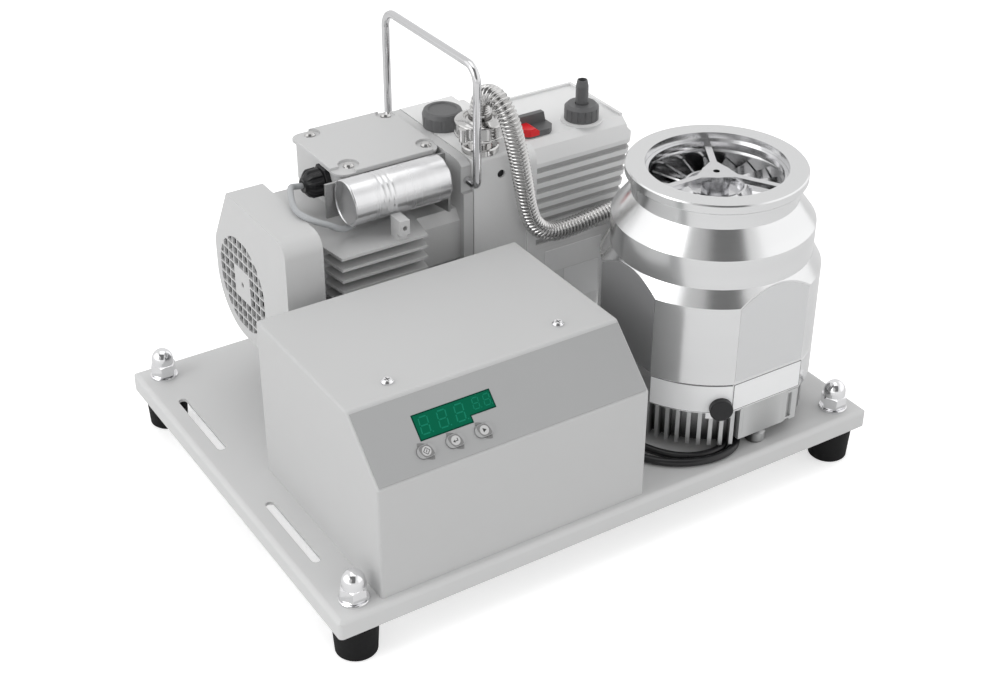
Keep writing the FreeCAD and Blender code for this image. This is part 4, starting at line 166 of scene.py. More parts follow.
def grooveShadedCoat(name, color):
    # Block paint with painted shade in the oil box's grooves, which are found by their height
    paint = Paint(name)
    spec = paintedGrooveShade
    half, soft = spec["tall"] / 2, spec["soft"] / 2
    step = mathNode(paint.tree, "SUBTRACT", paint.height, (spec["top"] - half) * mm)
    away = mathNode(paint.tree, "PINGPONG", step, spec["pitch"] / 2 * mm)
    inside = paint.span(away, 1, 0, (half - soft) * mm, (half + soft) * mm)
    low = spec["top"] - spec["pitch"] * spec["count"]
    limits = (("GREATER_THAN", paint.across, spec["left"]), ("GREATER_THAN", paint.height, low),
              ("LESS_THAN", paint.height, spec["top"] + spec["margin"]))
    for test, socket, limit in limits:
        passed = mathNode(paint.tree, test, socket, limit * mm)
        inside = mathNode(paint.tree, "MULTIPLY", inside, passed)
    tone = paint.span(paint.noise(9, 4), 0.97, 1)
    # Painted shade: inside each groove the paint is darkened to the shade level
    level = mathNode(paint.tree, "MULTIPLY", tone, paint.span(inside, 1, spec["shade"]))
    paint.color(paint.tint(level, (0, 0, 0), color))
    paint.rough(paint.span(paint.noise(40), 0.36, 0.48))
    paint.bump(paint.noise(700, 2), 0.35, 0.05)
    return paint.material


def castMetal(name, color, rough=0.45):
    # Sand-cast aluminium: grainy skin, darker in the hollows
    paint = Paint(name)
    grain = paint.noise(700, 4, rough=0.65)
    hollow = [value * 0.82 for value in color]
    paint.color(paint.tint(paint.span(grain, 0, 1, 0.3, 0.7), hollow, color))
    paint.set(Metallic=0.9)
    paint.rough(paint.span(paint.noise(60, 3), rough - 0.08, rough + 0.1))
    paint.bump(grain, 0.6, 0.25)
    return paint.material


def turnedMetal(name, color, rough=0.2, lines=2600, across=(0, 0, 1), depth=0.006, fade=0.97):
    # Machined metal with fine tool lines square to the axis
    paint = Paint(name)
    ratio = [1.0 if value else 0.01 for value in across]
    groove = paint.noise(lines, 2, ratio, 0.7)
    broad = paint.noise(70, 2, ratio)
    paint.color(paint.tint(paint.span(broad, 0, 1, 0.35, 0.65), color, [value * fade for value in color]))
    paint.set(Metallic=1.0)
    paint.rough(paint.span(groove, rough - 0.02, rough + 0.03, 0.3, 0.7))
    paint.bump(groove, 0.12, depth)
    return paint.material


def finShadedCast(name, color, centre, inner, outer, foot, head):
    # Cast aluminium with the fin edges in the plain colour; towards the axis, between the fins, painted shade
    # darkens the skin, nearly to black at its foot
    paint = Paint(name)
    flat = paint.add("ShaderNodeMapping")
    flat.inputs["Location"].default_value = (-centre[0] * mm, -centre[1] * mm, 0)
    flat.inputs["Scale"].default_value = (1, 1, 0)
    paint.join(paint.place, flat.inputs["Vector"])
    away = paint.add("ShaderNodeVectorMath", operation="LENGTH")
    paint.join(flat.outputs["Vector"], away.inputs[0])
    grain = paint.noise(700, 4, rough=0.65)
    # Painted shade between the fins: deepest at the foot, lighter towards the head
    rise = paint.span(paint.height, 0.12, 0.7, foot * mm, head * mm)
    level = mathNode(paint.tree, "MULTIPLY", rise, paint.span(grain, 0.8, 1, 0.3, 0.7))
    mix = paint.add("ShaderNodeMix", data_type="RGBA")
    mix.inputs["B"].default_value = (*color, 1)
    paint.join(paint.tint(level, (0, 0, 0), color), mix.inputs["A"])
    paint.join(paint.span(away.outputs["Value"], 0, 1, inner * mm, outer * mm), mix.inputs["Factor"])
    paint.color(mix.outputs["Result"])
    paint.set(Metallic=0.85)
    paint.rough(paint.span(paint.noise(60, 3), 0.36, 0.52))
    paint.bump(grain, 0.5, 0.2)
    return paint.material


def polishedMetal(name, color, rough=0.08):
    # Chrome or polished steel with faint wipe marks
    paint = Paint(name)
    wipe = paint.noise(140, 3, (1, 1, 0.25))
    paint.color(paint.tint(wipe, color, [value * 0.95 for value in color]))
    paint.set(Metallic=1.0)
    paint.rough(paint.span(wipe, rough, rough + 0.08, 0.4, 0.7))
    return paint.material


def mouldedPlastic(name, color, rough=0.45, grain=500, depth=0.05, shine=0.5):
    # Moulded plastic or rubber with a fine spark-eroded grain
    paint = Paint(name)
    speck = paint.noise(grain, 3)
    paint.color(paint.tint(paint.noise(25, 3), color, [value * 1.25 for value in color]))
    paint.set(Specular_IOR_Level=shine)
    paint.rough(paint.span(speck, rough - 0.07, rough + 0.08))
    paint.bump(speck, 0.35, depth)
    return paint.material


def filterTint(name, color):
    # Tinted display filter with a faint change of tone
    paint = Paint(name)
    paint.color(paint.tint(paint.noise(60, 2), color, [value * 0.85 for value in color]))
    paint.set(Roughness=0.3, Specular_IOR_Level=0.06)
    return paint.material


def smokedGlass(name):
    # Amber sight glass under a clear coat
    paint = Paint(name)
    paint.color(paint.tint(paint.noise(30, 2), (0.55, 0.5, 0.35), (0.5, 0.45, 0.3)))
    paint.set(Roughness=0.08, Coat_Weight=0.6)
    return paint.material


finishes = {
    "powderGrey": powderCoat("powder_grey", (0.55, 0.552, 0.552), 1100, 0.05, 0.48),
    "plateGrey": powderCoat("plate_grey", (0.64, 0.642, 0.642), 1100, 0.05, 0.48),
    "pumpGrey": powderCoat("pump_grey", (0.58, 0.582, 0.582), 700, 0.05, 0.42),
    # The pump block and oil box take a lighter copy of the pump paint: painted light making up for the shade the
    # controller and turbo cast on their fronts
    "blockGrey": powderCoat("block_grey", (0.78, 0.782, 0.782), 700, 0.05, 0.42),
    "oilGreyGrooveShade": grooveShadedCoat("oil_box_grey_groove_shade", (0.78, 0.782, 0.782)),
    "overlayFilm": powderCoat("overlay_film", (0.375, 0.378, 0.38), 2200, 0.02, 0.55),
    "turbo": turnedMetal("turned_aluminium", (0.78, 0.783, 0.787), 0.19),
    "cast": finShadedCast("cast_aluminium", (0.6, 0.605, 0.605), (129.4, -88), 70.5, 75.2, 52, 74),
    "labelWhite": powderCoat("label_film", (0.88, 0.885, 0.89), 2600, 0.01, 0.4),
    "labelEdge": powderCoat("label_edge", (0.12, 0.12, 0.125), 2600, 0.01, 0.5),
    "frostFilm": powderCoat("frosted_film", (0.66, 0.665, 0.67), 1800, 0.01, 0.38),
    "darkFilm": powderCoat("dark_film", (0.23, 0.231, 0.235), 1800, 0.01, 0.3),
    "plateFilm": powderCoat("plate_film", (0.86, 0.863, 0.866), 2200, 0.01, 0.4),
    "keyPrint": powderCoat("key_print", (0.2, 0.2, 0.2), 2600, 0.01, 0.5),
    "keyLight": powderCoat("key_light", (0.55, 0.55, 0.55), 2600, 0.01, 0.5),
    "keyInk": powderCoat("key_ink", (0.035, 0.035, 0.035), 2600, 0.01, 0.5),
    "innerMetal": polishedMetal("milled_aluminium", (0.72, 0.72, 0.73), 0.16),
    "chrome": polishedMetal("chrome", (0.86, 0.86, 0.87), 0.05),
    "handleSteel": polishedMetal("handle_steel", (0.7, 0.7, 0.71), 0.06),
    "stainless": polishedMetal("stainless_steel", (0.62, 0.615, 0.61), 0.1),
    "steel": castMetal("machined_steel", (0.5, 0.5, 0.5), 0.35),
    "capacitorCan": turnedMetal("drawn_aluminium", (0.8, 0.8, 0.81), 0.25, 700, (1, 0, 0), 0.004, 0.95),
    "rubber": mouldedPlastic("black_rubber", (0.008, 0.008, 0.0085), 0.65, 300, 0.12, 0.2),
    "blackPlastic": mouldedPlastic("black_plastic", (0.014, 0.014, 0.015), 0.36, shine=0.35),
    "darkPlastic": mouldedPlastic("dark_plastic", (0.1, 0.101, 0.103), 0.42),
    "redPlastic": mouldedPlastic("red_plastic", (0.7, 0.012, 0.018), 0.3),
    "window": filterTint("display_window", (0.0, 0.128, 0.066)),
    # Darker green for the window's rim: painted shade along the edges of the recessed filter
    "windowRimShade": filterTint("window_rim_shade", (0.0, 0.05, 0.03)),
    "segment": filterTint("display_segment", (0.008, 0.21, 0.125)),
    "board": mouldedPlastic("circuit_board", (0.02, 0.12, 0.05), 0.4),
    "copper": castMetal("copper_winding", (0.7, 0.36, 0.2), 0.35),
    "jacket": mouldedPlastic("cable_jacket", (0.011, 0.011, 0.012), 0.3, 400, 0.004),
    "greyJacket": mouldedPlastic("grey_jacket", (0.36, 0.37, 0.38), 0.45, 400, 0.03),
    "glass": smokedGlass("sight_glass"),
}

nodeFinish = {
    "powderGrey": ["controller_chassis", "controller_cover"],
    "plateGrey": ["base_plate"],
    "overlayFilm": ["panel_overlay", "start_button", "enter_button", "cycle_button"],
    "window": ["display_window"],
    "board": ["control_board"],
    "steel": ["power_supply", "motor_rotor", "motor_bearings", "turbo_bearing", "turbo_shaft",
              "pump_rotor", "capacitor_bracket"],
    "copper": ["motor_stator", "turbo_motor_stator"],
    "blackPlastic": ["mains_inlet", "rocker_switch", "cable_plugs", "vent_plug", "cable_gland",
                     "cooling_fan", "pump_vanes"],
    "chrome": ["cover_screws", "foot_washers", "dome_nuts"],
    "handleSteel": ["lifting_handle"],
    "turbo": ["turbo_envelope", "turbo_housing_ring"],
    "cast": ["turbo_base"],
    "innerMetal": ["inlet_spider", "stator_stack", "turbo_rotor"],
    "stainless": ["backing_port", "bellows_hose", "hose_flanges", "centring_rings", "inlet_port", "lid_screws",
                  "hose_clamps", "wing_nuts"],
    "rubber": ["rubber_feet", "pump_feet"],
    "jacket": ["turbo_cable"],
    "greyJacket": ["capacitor_cable"],
    "pumpGrey": ["motor_housing", "fan_cover", "terminal_box", "terminal_lid"],
    "blockGrey": ["pump_block"],
    "oilGreyGrooveShade": ["oil_box"],
    "darkPlastic": ["filler_plug", "outlet_nozzle", "nozzle_nut", "ballast_lever"],
    "redPlastic": ["lever_insert"],
    "capacitorCan": ["capacitor"],
    "glass": ["sight_glass"],
}

for finish, names in nodeFinish.items():
    for name in names:
        nodes[name].data.materials.clear()
        nodes[name].data.materials.append(finishes[finish])
print("materials set:", len(finishes))


# Cords: the bellows hose, the turbo pump's cable and the capacitor's cable

hose = {
    "route": [(25.8, 61.1, 245.9), (25.8, 61.1, 252), (26, 55.5, 261.5), (26.5, 43, 265.5),
              (28.3, 32.5, 259.5), (32.2, 28.5, 245.5), (38, 28.5, 222.5), (43.4, 29.2, 198),
              (48, 30, 173.5), (54.5, 30, 156.3), (68, 29.5, 146.5), (86, 30, 145.5), (106, 30.5, 147),
              (127, 32.5, 148.5), (143.5, 38.5, 145), (151.8, 42.5, 133), (152, 44.5, 117),
              (150.7, 44, 101.5), (150, 35, 92), (150, 19.3, 92)],
    "crest": 7.75, "valley": 5.7, "pitch": 3.1, "around": 40, "perWave": 8, "swell": 0.7, "marks": 120,
}
turboCable = {
    "route": [(-14.6, 18, 72), (-14.6, 26, 72), (-10.6, 34, 66), (-0.6, 38, 55), (13.4, 35, 46.1),
              (25.4, 24, 45.1), (32.4, -12, 45.1), (34.4, -36, 45.1), (34.4, -64, 45.1), (33.9, -92, 45.1),
              (35.2, -114, 45.1), (38.6, -127.5, 45.1), (44.6, -138.5, 45.1), (53, -147.8, 45.1),
              (64, -155.3, 45.1), (77, -160.6, 45.1), (91, -162.6, 45.1), (104.5, -160, 45.1),
              (114.5, -152, 45.1), (120.4, -139, 45.1), (120.4, -116, 45.1), (112.4, -94, 45.1),
              (97.4, -71, 45.1), (80.4, -53, 45.1), (64.4, -43, 45.1), (51.4, -45, 45.1), (45.4, -57, 45.1),
              (44.4, -76, 45.1), (45.4, -98, 45.1), (47.2, -113, 45.1), (51.2, -126, 45.1), (57.4, -137.5, 45.1),
              (66.2, -147.6, 45.1), (77.8, -153.9, 45.1), (90.8, -156, 45.1), (101.4, -153, 45.1),
              (107.2, -145, 45.1), (106.4, -129, 45.1), (106.4, -120, 50), (106.4, -120, 59)],
    "radius": 3,
}
capacitorLead = {
    "route": [(-103, 100.5, 202.2), (-108.5, 100.5, 203), (-114, 96.5, 206.2), (-118.5, 88.5, 207.8),
              (-122.8, 78.5, 207.8), (-126.3, 68, 206.6), (-127.8, 57.5, 206), (-125.5, 48.5, 205.3),
              (-118.8, 43.6, 202), (-109.5, 45.3, 196.6), (-101, 50, 189), (-91.5, 55.8, 183.35),
              (-77.5, 62, 183.95), (-61, 65.8, 183.95), (-44, 67.4, 183.95), (-28, 66.8, 183.95),
              (-12, 66.8, 183.95)],
    "radius": 2.3,
}


def cordLine(name, route, radius=0):
    # Smooth line through a cord's route: a quadratic NURBS spline with the route's points as its controls
    curve = bpy.data.curves.new(name, "CURVE")
    curve.dimensions = "3D"
    spline = curve.splines.new("NURBS")
    spline.points.add(len(route) - 1)
    flat = np.hstack([np.array(route, float) * mm, np.ones((len(route), 1))])
    spline.points.foreach_set("co", flat.ravel())
    spline.order_u = 3
    spline.use_endpoint_u = True
    curve.resolution_u = 16
    curve.bevel_depth = radius * mm
    curve.bevel_resolution = 6
    curve.use_fill_caps = True
    item = bpy.data.objects.new(name, curve)
    bpy.context.scene.collection.objects.link(item)
    return item


def linePoints(route):
    # Points along the smooth line, read back from the spline
    guide = cordLine("guide", route)
    guide.data.resolution_u = 40
    bpy.context.view_layer.update()
    mesh = bpy.data.meshes.new_from_object(guide.evaluated_get(bpy.context.evaluated_depsgraph_get()))
    places = np.empty(len(mesh.vertices) * 3)
    mesh.vertices.foreach_get("co", places)
    bpy.data.objects.remove(guide)
    bpy.data.meshes.remove(mesh)
    return places.reshape(-1, 3)


def arcLength(places):
    steps = np.linalg.norm(np.diff(places, axis=0), axis=1)
    return np.concatenate([[0], np.cumsum(steps)])


def evenly(places, count):
    # The same line at equal steps along its length
    run = arcLength(places)
    marks = np.linspace(0, run[-1], count)
    return np.stack([np.interp(marks, run, places[:, axis]) for axis in range(3)], axis=1)


def sideVectors(places):
    # Directions across the line that turn with it as little as they can
    ahead = np.gradient(places, axis=0)
    ahead /= np.linalg.norm(ahead, axis=1)[:, None]
    across = np.empty_like(places)
    helper = np.array([1.0, 0, 0]) if abs(ahead[0][0]) < 0.9 else np.array([0, 1.0, 0])
    side = np.cross(ahead[0], helper)
    for index, way in enumerate(ahead):
        side = side - way * side.dot(way)
        side = side / np.linalg.norm(side)
        across[index] = side
    return across, np.cross(ahead, across)


# Mesh helpers: a grid of points becomes a closed, smooth-shaded surface

def gridPiece(name, places, loopRows=False, sharp=32):
    # Every row is a closed ring; the first and last are capped unless the rows close on themselves
    rows, columns = places.shape[:2]
    row = np.arange(rows if loopRows else rows - 1)
    first, second = np.meshgrid(row, np.arange(columns), indexing="ij")
    nextRow, nextColumn = (first + 1) % rows, (second + 1) % columns
    quads = np.stack([first * columns + second, first * columns + nextColumn,
                      nextRow * columns + nextColumn, nextRow * columns + second], axis=-1).reshape(-1, 4)
    faces = quads.tolist()
    if not loopRows:
        faces.append(list(range(columns))[::-1])
        faces.append(list(range((rows - 1) * columns, rows * columns)))
    mesh = bpy.data.meshes.new(name)
    mesh.from_pydata((places.reshape(-1, 3) * mm).tolist(), [], faces)
    return finished(name, mesh, sharp)


def finished(name, mesh, sharp=32):
    # Merges doubles, points faces outwards and marks the sharp edges
    work = bmesh.new()
    work.from_mesh(mesh)
    bmesh.ops.remove_doubles(work, verts=work.verts, dist=2e-6)
    bmesh.ops.dissolve_degenerate(work, edges=work.edges, dist=1e-6)
    bmesh.ops.recalc_face_normals(work, faces=work.faces)
    work.to_mesh(mesh)
    work.free()
    mesh.polygons.foreach_set("use_smooth", np.ones(len(mesh.polygons), bool))
    mesh.set_sharp_from_angle(angle=math.radians(sharp))
    item = bpy.data.objects.new(name, mesh)
    bpy.context.scene.collection.objects.link(item)
    return item


def dress(item, finish, body, slot, *replaced):
    item.data.materials.clear()
    item.data.materials.append(finishes[finish])
    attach(item, body)
    if replaced:
        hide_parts(*replaced)
    return item


def bellowsHose(spec):
    # The radius along the line is a rounded wave between valley and crest, and the ends stay at the crest
    line = linePoints(spec["route"])
    length = arcLength(line)[-1] / mm
    waves = round(length / spec["pitch"])
    places = evenly(line, waves * spec["perWave"] + 1) / mm
    side, up = sideVectors(places)
    phase = np.linspace(0, 2 * math.pi * waves, len(places))
    swell = 0.5 + 0.5 * np.cos(phase)
    radius = spec["valley"] + (spec["crest"] - spec["valley"]) * swell ** spec["swell"]
    angle = np.linspace(0, 2 * math.pi, spec["around"], endpoint=False)
    ring = (side[:, None, :] * np.cos(angle)[None, :, None]
            + up[:, None, :] * np.sin(angle)[None, :, None])
    item = gridPiece("bellows_tube", places[:, None, :] + ring * radius[:, None, None], sharp=80)
    dress(item, "stainless", "station", "stainless", "bellows_hose")


def plainCord(name, spec, finish, slot, node):
    item = cordLine(name, spec["route"], spec["radius"])
    length = arcLength(linePoints(spec["route"]))[-1]
    dress(item, finish, "station", slot, node)


bellowsHose(hose)
plainCord("turbo_lead", turboCable, "jacket", "cable_black", "turbo_cable")
plainCord("capacitor_lead", capacitorLead, "greyJacket", "cable_grey", "capacitor_cable")
print("cords laid")


# Flat plates: outlines on a plane, each a thin closed slab whose upper edge slopes in

plateEdge = {"height": 0.12, "slope": 0.7}  # the slope is how far in it goes for its height


def plates(name, plane, outlines, low, high, finish, body, slot, replaced=()):
    # Each outline becomes a slab; the plane gives its origin and the directions right and up
    origin, right, up = (np.array(plane[key], float) for key in ("origin", "right", "up"))
    out = np.cross(right, up)
    edge = min(plateEdge["height"], (high - low) / 2)
    mesh = bpy.data.meshes.new(name)
    points, faces = [], []
    for outline in outlines:
        shape = np.array(outline, float)
        ahead = np.roll(shape, -1, axis=0) - shape
        ahead /= np.linalg.norm(ahead, axis=1)[:, None]
        back = np.roll(ahead, 1, axis=0)
        inward = np.stack([-(ahead + back)[:, 1], (ahead + back)[:, 0]], axis=1)
        inward /= np.maximum(np.linalg.norm(inward, axis=1), 1e-9)[:, None]
        if (shape[:, 0] * ahead[:, 1] - shape[:, 1] * ahead[:, 0]).sum() < 0:
            inward = -inward
        start, count = len(points), len(shape)
        for inset, height in ((0, low), (0, high - edge), (edge * plateEdge["slope"], high)):
            flat = shape + inward * inset
            points.extend((origin + flat[:, :1] * right + flat[:, 1:] * up + height * out).tolist())
        for row in (0, 1):
            first = start + row * count
            for k in range(count):
                after = (k + 1) % count
                faces.append([first + k, first + after, first + count + after, first + count + k])
        faces.append(list(range(start, start + count))[::-1])
        faces.append(list(range(start + 2 * count, start + 3 * count)))
    mesh.from_pydata((np.array(points) * mm).tolist(), [], faces)
    return dress(finished(name, mesh, 25), finish, body, slot, *replaced)


def circle(centre, radius, count=40):
    turn = np.linspace(0, 2 * math.pi, count, endpoint=False)
    return np.stack([centre[0] + radius * np.cos(turn), centre[1] + radius * np.sin(turn)], axis=1)


def roundBox(left, bottom, width, tall, radius, count=6):
    # Four quarter circles joined by straight sides
    quarter = np.linspace(0, math.pi / 2, count)
    corners = []
    low, high = bottom + radius, bottom + tall - radius
    near, far = left + radius, left + width - radius
    for k, (x, y) in enumerate(((far, high), (near, high), (near, low), (far, low))):
        turn = quarter + k * math.pi / 2
        corners.append(np.stack([x + radius * np.cos(turn), y + radius * np.sin(turn)], axis=1))
    return np.concatenate(corners)


def bar(first, second, width):
    # Straight stroke between two points
    first, second = np.array(first, float), np.array(second, float)
    along = (second - first) / np.linalg.norm(second - first)
    side = np.array([-along[1], along[0]]) * width / 2
    return np.stack([first - side, second - side, second + side, first + side])


# Display and keys on the controller's slope, measured right from its corner and up the slope

panel = {
    "plane": {"origin": (-190.6, -165.3, 128.6), "right": (1, 0, 0), "up": (0, 0.72426, 0.68952)},
    "film": 0.8, "frame": 0.9,
    "window": [(39.8, 20.6), (79.5, 20.6), (79.5, 25.2), (98.6, 25.2), (98.6, 38.4), (39.8, 38.4)],
    "digits": (45.9, 59.3, 72.1), "digitLow": 24.2, "digit": (6.2, 11.2),
    "small": (85.3, 93.6), "smallLow": 28.4, "smallDigit": (4.4, 7.4),
    "stroke": 0.95, "smallStroke": 0.7125, "lean": 0.12, "strokeGap": 0.62, "point": (1.7, 0.6),
    "keys": {"start": 40.6, "enter": 62.05, "cycle": 83.5}, "keyLow": 13.7, "keyHalf": (6.5, 4.3),
    "keyTop": 2.1, "leafHalf": 7.7, "leafWide": 4.1, "leafTurn": 120, "dot": 3.2, "steps": 240,
    "capInset": 0.35, "capGap": 0.45, "tipLeast": 0.6,
    "layers": {  # from and to, above the film or above a key's cap
        "frame": (-0.4, 0.1), "filter": (0, 0.16), "digits": (0.05, 0.2), "tips": (-0.1, 0.06),
        "print": (-0.1, 0.06), "light": (0, 0.12), "sign": (0.05, 0.17),
    },
}
signs = {  # a lozenge, an arrow back and a pointer: strokes with their widths, and filled outlines
    "start": {"strokes": [((0, 2.3), (2.3, 0), 0.45), ((2.3, 0), (0, -2.3), 0.45),
                          ((0, -2.3), (-2.3, 0), 0.45), ((-2.3, 0), (0, 2.3), 0.45),
                          ((-0.5, -0.8), (0.5, 0.8), 0.5)], "filled": []},
    "enter": {"strokes": [((1.4, 1.3), (1.4, -0.55), 0.55), ((1.6, -0.4), (-0.9, -0.4), 0.55)],
              "filled": [[(-2.1, -0.4), (-0.7, -1.4), (-0.7, 0.6)]]},
    "cycle": {"strokes": [], "filled": [[(-1, -1.5), (1.7, 0), (-1, 1.5)]]},
}


def insetWindow(distance):
    # The stepped outline, each side moved in by the same distance
    moves = ((1, 1), (-1, 1), (-1, 1), (-1, 1), (-1, -1), (1, -1))
    return [(x + a * distance, y + b * distance) for (x, y), (a, b) in zip(panel["window"], moves)]


def digitBars(left, low, size, stroke):
    # Seven strokes of a figure eight that leans to the right, with a point beside it
    wide, tall = size
    level = [((0, y), (1, y)) for y in (0, 0.5, 1)]
    upright = [((x, y), (x, y + 0.5)) for x in (0, 1) for y in (0, 0.5)]
    bars = []
    for ends in level + upright:
        first, second = (np.array((left + x * wide + y * tall * panel["lean"], low + y * tall))
                         for x, y in ends)
        gap = (second - first) / np.linalg.norm(second - first) * stroke * panel["strokeGap"]
        bars.append(bar(first + gap, second - gap, stroke))
    aside, radius = panel["point"]
    bars.append(circle((left + wide + stroke * aside, low), stroke * radius, 12))
    return bars


def leafRadius(turn):
    # Distance from the middle of a leaf, two circular arcs between two tips, to its edge in each direction
    half, wide = panel["leafHalf"], panel["leafWide"]
    arc = (half ** 2 + wide ** 2) / (2 * wide)
    lift = arc - wide
    local = turn - math.radians(panel["leafTurn"])
    rise = np.abs(np.sin(local))
    return -lift * rise + np.sqrt((lift * rise) ** 2 + arc ** 2 - lift ** 2)


def capRadius(turn):
    # Distance from the middle of a key's cap, a bar with round ends, to its edge
    half, tall = panel["keyHalf"]
    straight = half - tall
    cosine, sine = np.abs(np.cos(turn)), np.abs(np.sin(turn))
    flat = np.where(sine > 1e-6, tall / np.maximum(sine, 1e-6), 1e6)
    end = straight * cosine + np.sqrt(np.maximum(tall ** 2 - (straight * sine) ** 2, 0))
    return np.where(flat * cosine <= straight, flat, end)


def aroundKey(centre, turn, radius):
    return np.stack([centre[0] + radius * np.cos(turn), centre[1] + radius * np.sin(turn)], axis=1)


def keyMarks(key, middle):
    # The key's sign about its middle
    sign = signs[key]
    marks = [bar(np.add(middle, first), np.add(middle, second), width)
             for first, second, width in sign["strokes"]]
    return marks + [np.add(middle, outline) for outline in sign["filled"]]


def film(name, outlines, layer, base, finish, body, slot, *replaced):
    # A thin layer on the slope: its layer's heights are above the base
    low, high = panel["layers"][layer]
    plates(name, panel["plane"], outlines, base + low, base + high, finish, body, slot, replaced)


def dressDisplay():
    base = panel["film"]
    # Round the filter, a darker rim of painted shade along the recessed window's edges
    film("window_shaded_rim", [panel["window"]], "frame", base, "windowRimShade", "station", "display", "display_window")
    film("window_filter", [insetWindow(panel["frame"])], "filter", base, "window", "station", "display")
    strokes = []
    for lefts, low, digit, stroke in ((panel["digits"], panel["digitLow"], panel["digit"], panel["stroke"]),
                                      (panel["small"], panel["smallLow"], panel["smallDigit"],
                                       panel["smallStroke"])):
        for left in lefts:
            strokes += digitBars(left - digit[0] / 2, low, digit, stroke)
    film("display_digits", strokes, "digits", base, "segment", "station", "display")


def dressKeys():
    # On each cap the leaf's middle, a light disc and the sign; on the slope the leaf's tips beyond the cap
    top = panel["keyTop"]
    turn = np.linspace(0, 2 * math.pi, panel["steps"] + 1)
    leaf, cap = leafRadius(turn), capRadius(turn)
    inner = np.minimum(leaf, cap - panel["capInset"])
    edges = np.flatnonzero(np.diff((leaf > cap + panel["tipLeast"]).astype(int)))
    tips = []
    for key, place in panel["keys"].items():
        centre, body = (place, panel["keyLow"]), key + "_key"
        film(key + "_print", [aroundKey(centre, turn[:-1], inner[:-1])], "print", top, "keyPrint", body,
             "overlay")
        film(key + "_light", [circle(centre, panel["dot"])], "light", top, "keyLight", body, "overlay")
        film(key + "_sign", keyMarks(key, centre), "sign", top, "keyInk", body, "overlay")
        for first, last in zip(edges[::2], edges[1::2]):
            span = slice(first + 1, last + 1)
            back = aroundKey(centre, turn[span][::-1], cap[span][::-1] + panel["capGap"])
            tips.append(np.concatenate([aroundKey(centre, turn[span], leaf[span]), back]))
    film("key_tips", tips, "tips", panel["film"], "keyPrint", "station", "overlay")


dressDisplay()
dressKeys()
print("panel dressed")


# Blank labels on the turbo pump: plates on its flats and a strip round its foot

labels = {
    "middle": (129.4, -88), "flat": 73.4, "body": 80, "bodyTop": 166.5, "flatTop": 177.7, "cone": 6.8 / 11.5,
    "bend": 0.7, "low": 81, "high": 103.2, "filmLow": 105.5, "inset": 1.1, "sideInset": 0.6, "sink": -0.2,
    "thick": 0.25, "front": (-31, 62.5), "round": 0.8,
    "edge": {"grow": 0, "lift": 0.15}, "face": {"grow": -0.5, "lift": 0.25},
    "strip": (-113.6, -156.2), "stripSteps": 60, "stripEdge": (-0.4, 0.1, 0.12), "stripFace": (0, -0.4, 0.2),
}


def flatOutline(low, inset, count=14):
    # The outline of a flat: straight sides on the round wall, then in along the cone above it
    spec = labels
    rise = np.linspace(0, 1, count)
    height = spec["bodyTop"] + (spec["flatTop"] - spec["bodyTop"]) * rise ** spec["bend"]
    radius = spec["body"] - (height - spec["bodyTop"]) * spec["cone"]
    half = np.maximum(np.sqrt(np.maximum(radius ** 2 - spec["flat"] ** 2, 0)) - inset, 0.5)
    height = height - inset
    right = np.stack([half, height], axis=1)
    return np.concatenate([[(-half[0], low), (half[0], low)], right, right[::-1] * (-1, 1)])


def flatPlane(turn):
    # Plane of the flat that faces the given direction
    ahead = np.array([math.cos(math.radians(turn)), math.sin(math.radians(turn)), 0])
    origin = np.array([*labels["middle"], 0]) + ahead * labels["flat"]
    return {"origin": origin, "right": (-ahead[1], ahead[0], 0), "up": (0, 0, 1)}


def stripAround(name, size, finish):
    # A thin strip bent round the foot: angle by height, its section a loop of four corners
    below, above, lift = size
    low, high = labels["low"] + below, labels["high"] + above
    start, stop = labels["strip"]
    turn = np.radians(np.linspace(start, stop, labels["stripSteps"]))
    section = [(0, low), (lift, low), (lift, high), (0, high)]
    places = np.array([[(labels["middle"][0] + (labels["body"] + out) * math.cos(way),
                         labels["middle"][1] + (labels["body"] + out) * math.sin(way), height)
                        for out, height in section] for way in turn])
    item = gridPiece(name, places, sharp=25)
    dress(item, finish, "station", "overlay")


def dressTurbo():
    spec = labels
    front = flatPlane(-90)
    for name, plane, inset, finish in (("front_film", front, spec["inset"], "frostFilm"),
                                       ("side_film", flatPlane(180), spec["sideInset"], "darkFilm")):
        plates(name, plane, [flatOutline(spec["filmLow"], inset)], spec["sink"], spec["thick"], finish,
               "station", "overlay")
    left, width = spec["front"]
    for name, size, finish in (("front_label_edge", spec["edge"], "labelEdge"),
                               ("front_label", spec["face"], "labelWhite")):
        grow, tall = size["grow"], spec["high"] - spec["low"]
        outline = roundBox(left - grow, spec["low"] - grow, width + 2 * grow, tall + 2 * grow, spec["round"])
        plates(name, front, [outline], spec["sink"], size["lift"], finish, "station", "overlay")
    stripAround("foot_label_edge", spec["stripEdge"], "labelEdge")
    stripAround("foot_label", spec["stripFace"], "labelWhite")


dressTurbo()
print("labels placed")


# Raised lip and blank plates of the oil box, and the crosses of the cover screws

ground = {"origin": (0, 0, 0), "right": (1, 0, 0), "up": (0, 1, 0)}
oilTrim = {
    "lip": [(66, 137.6), (66, 135), (157.9, 135), (157.9, 66), (160.5, 66), (160.5, 137.6)],
    "lipHeights": (207.8, 210), "front": {"origin": (0, 55.3, 0), "right": (1, 0, 0), "up": (0, 0, 1)},
    "plates": {"plateFilm": (82, 93, 55, 20), "labelWhite": (101, 62, 33.5, 30)}, "plateHeights": (-0.3, 0.3),
    "round": 0.8,
}
crosses = {
    "centres": [(-151.7, -110.8), (-19.5, -110.8)], "half": 2.1, "wide": 0.4, "heights": (168.2, 168.75),
}


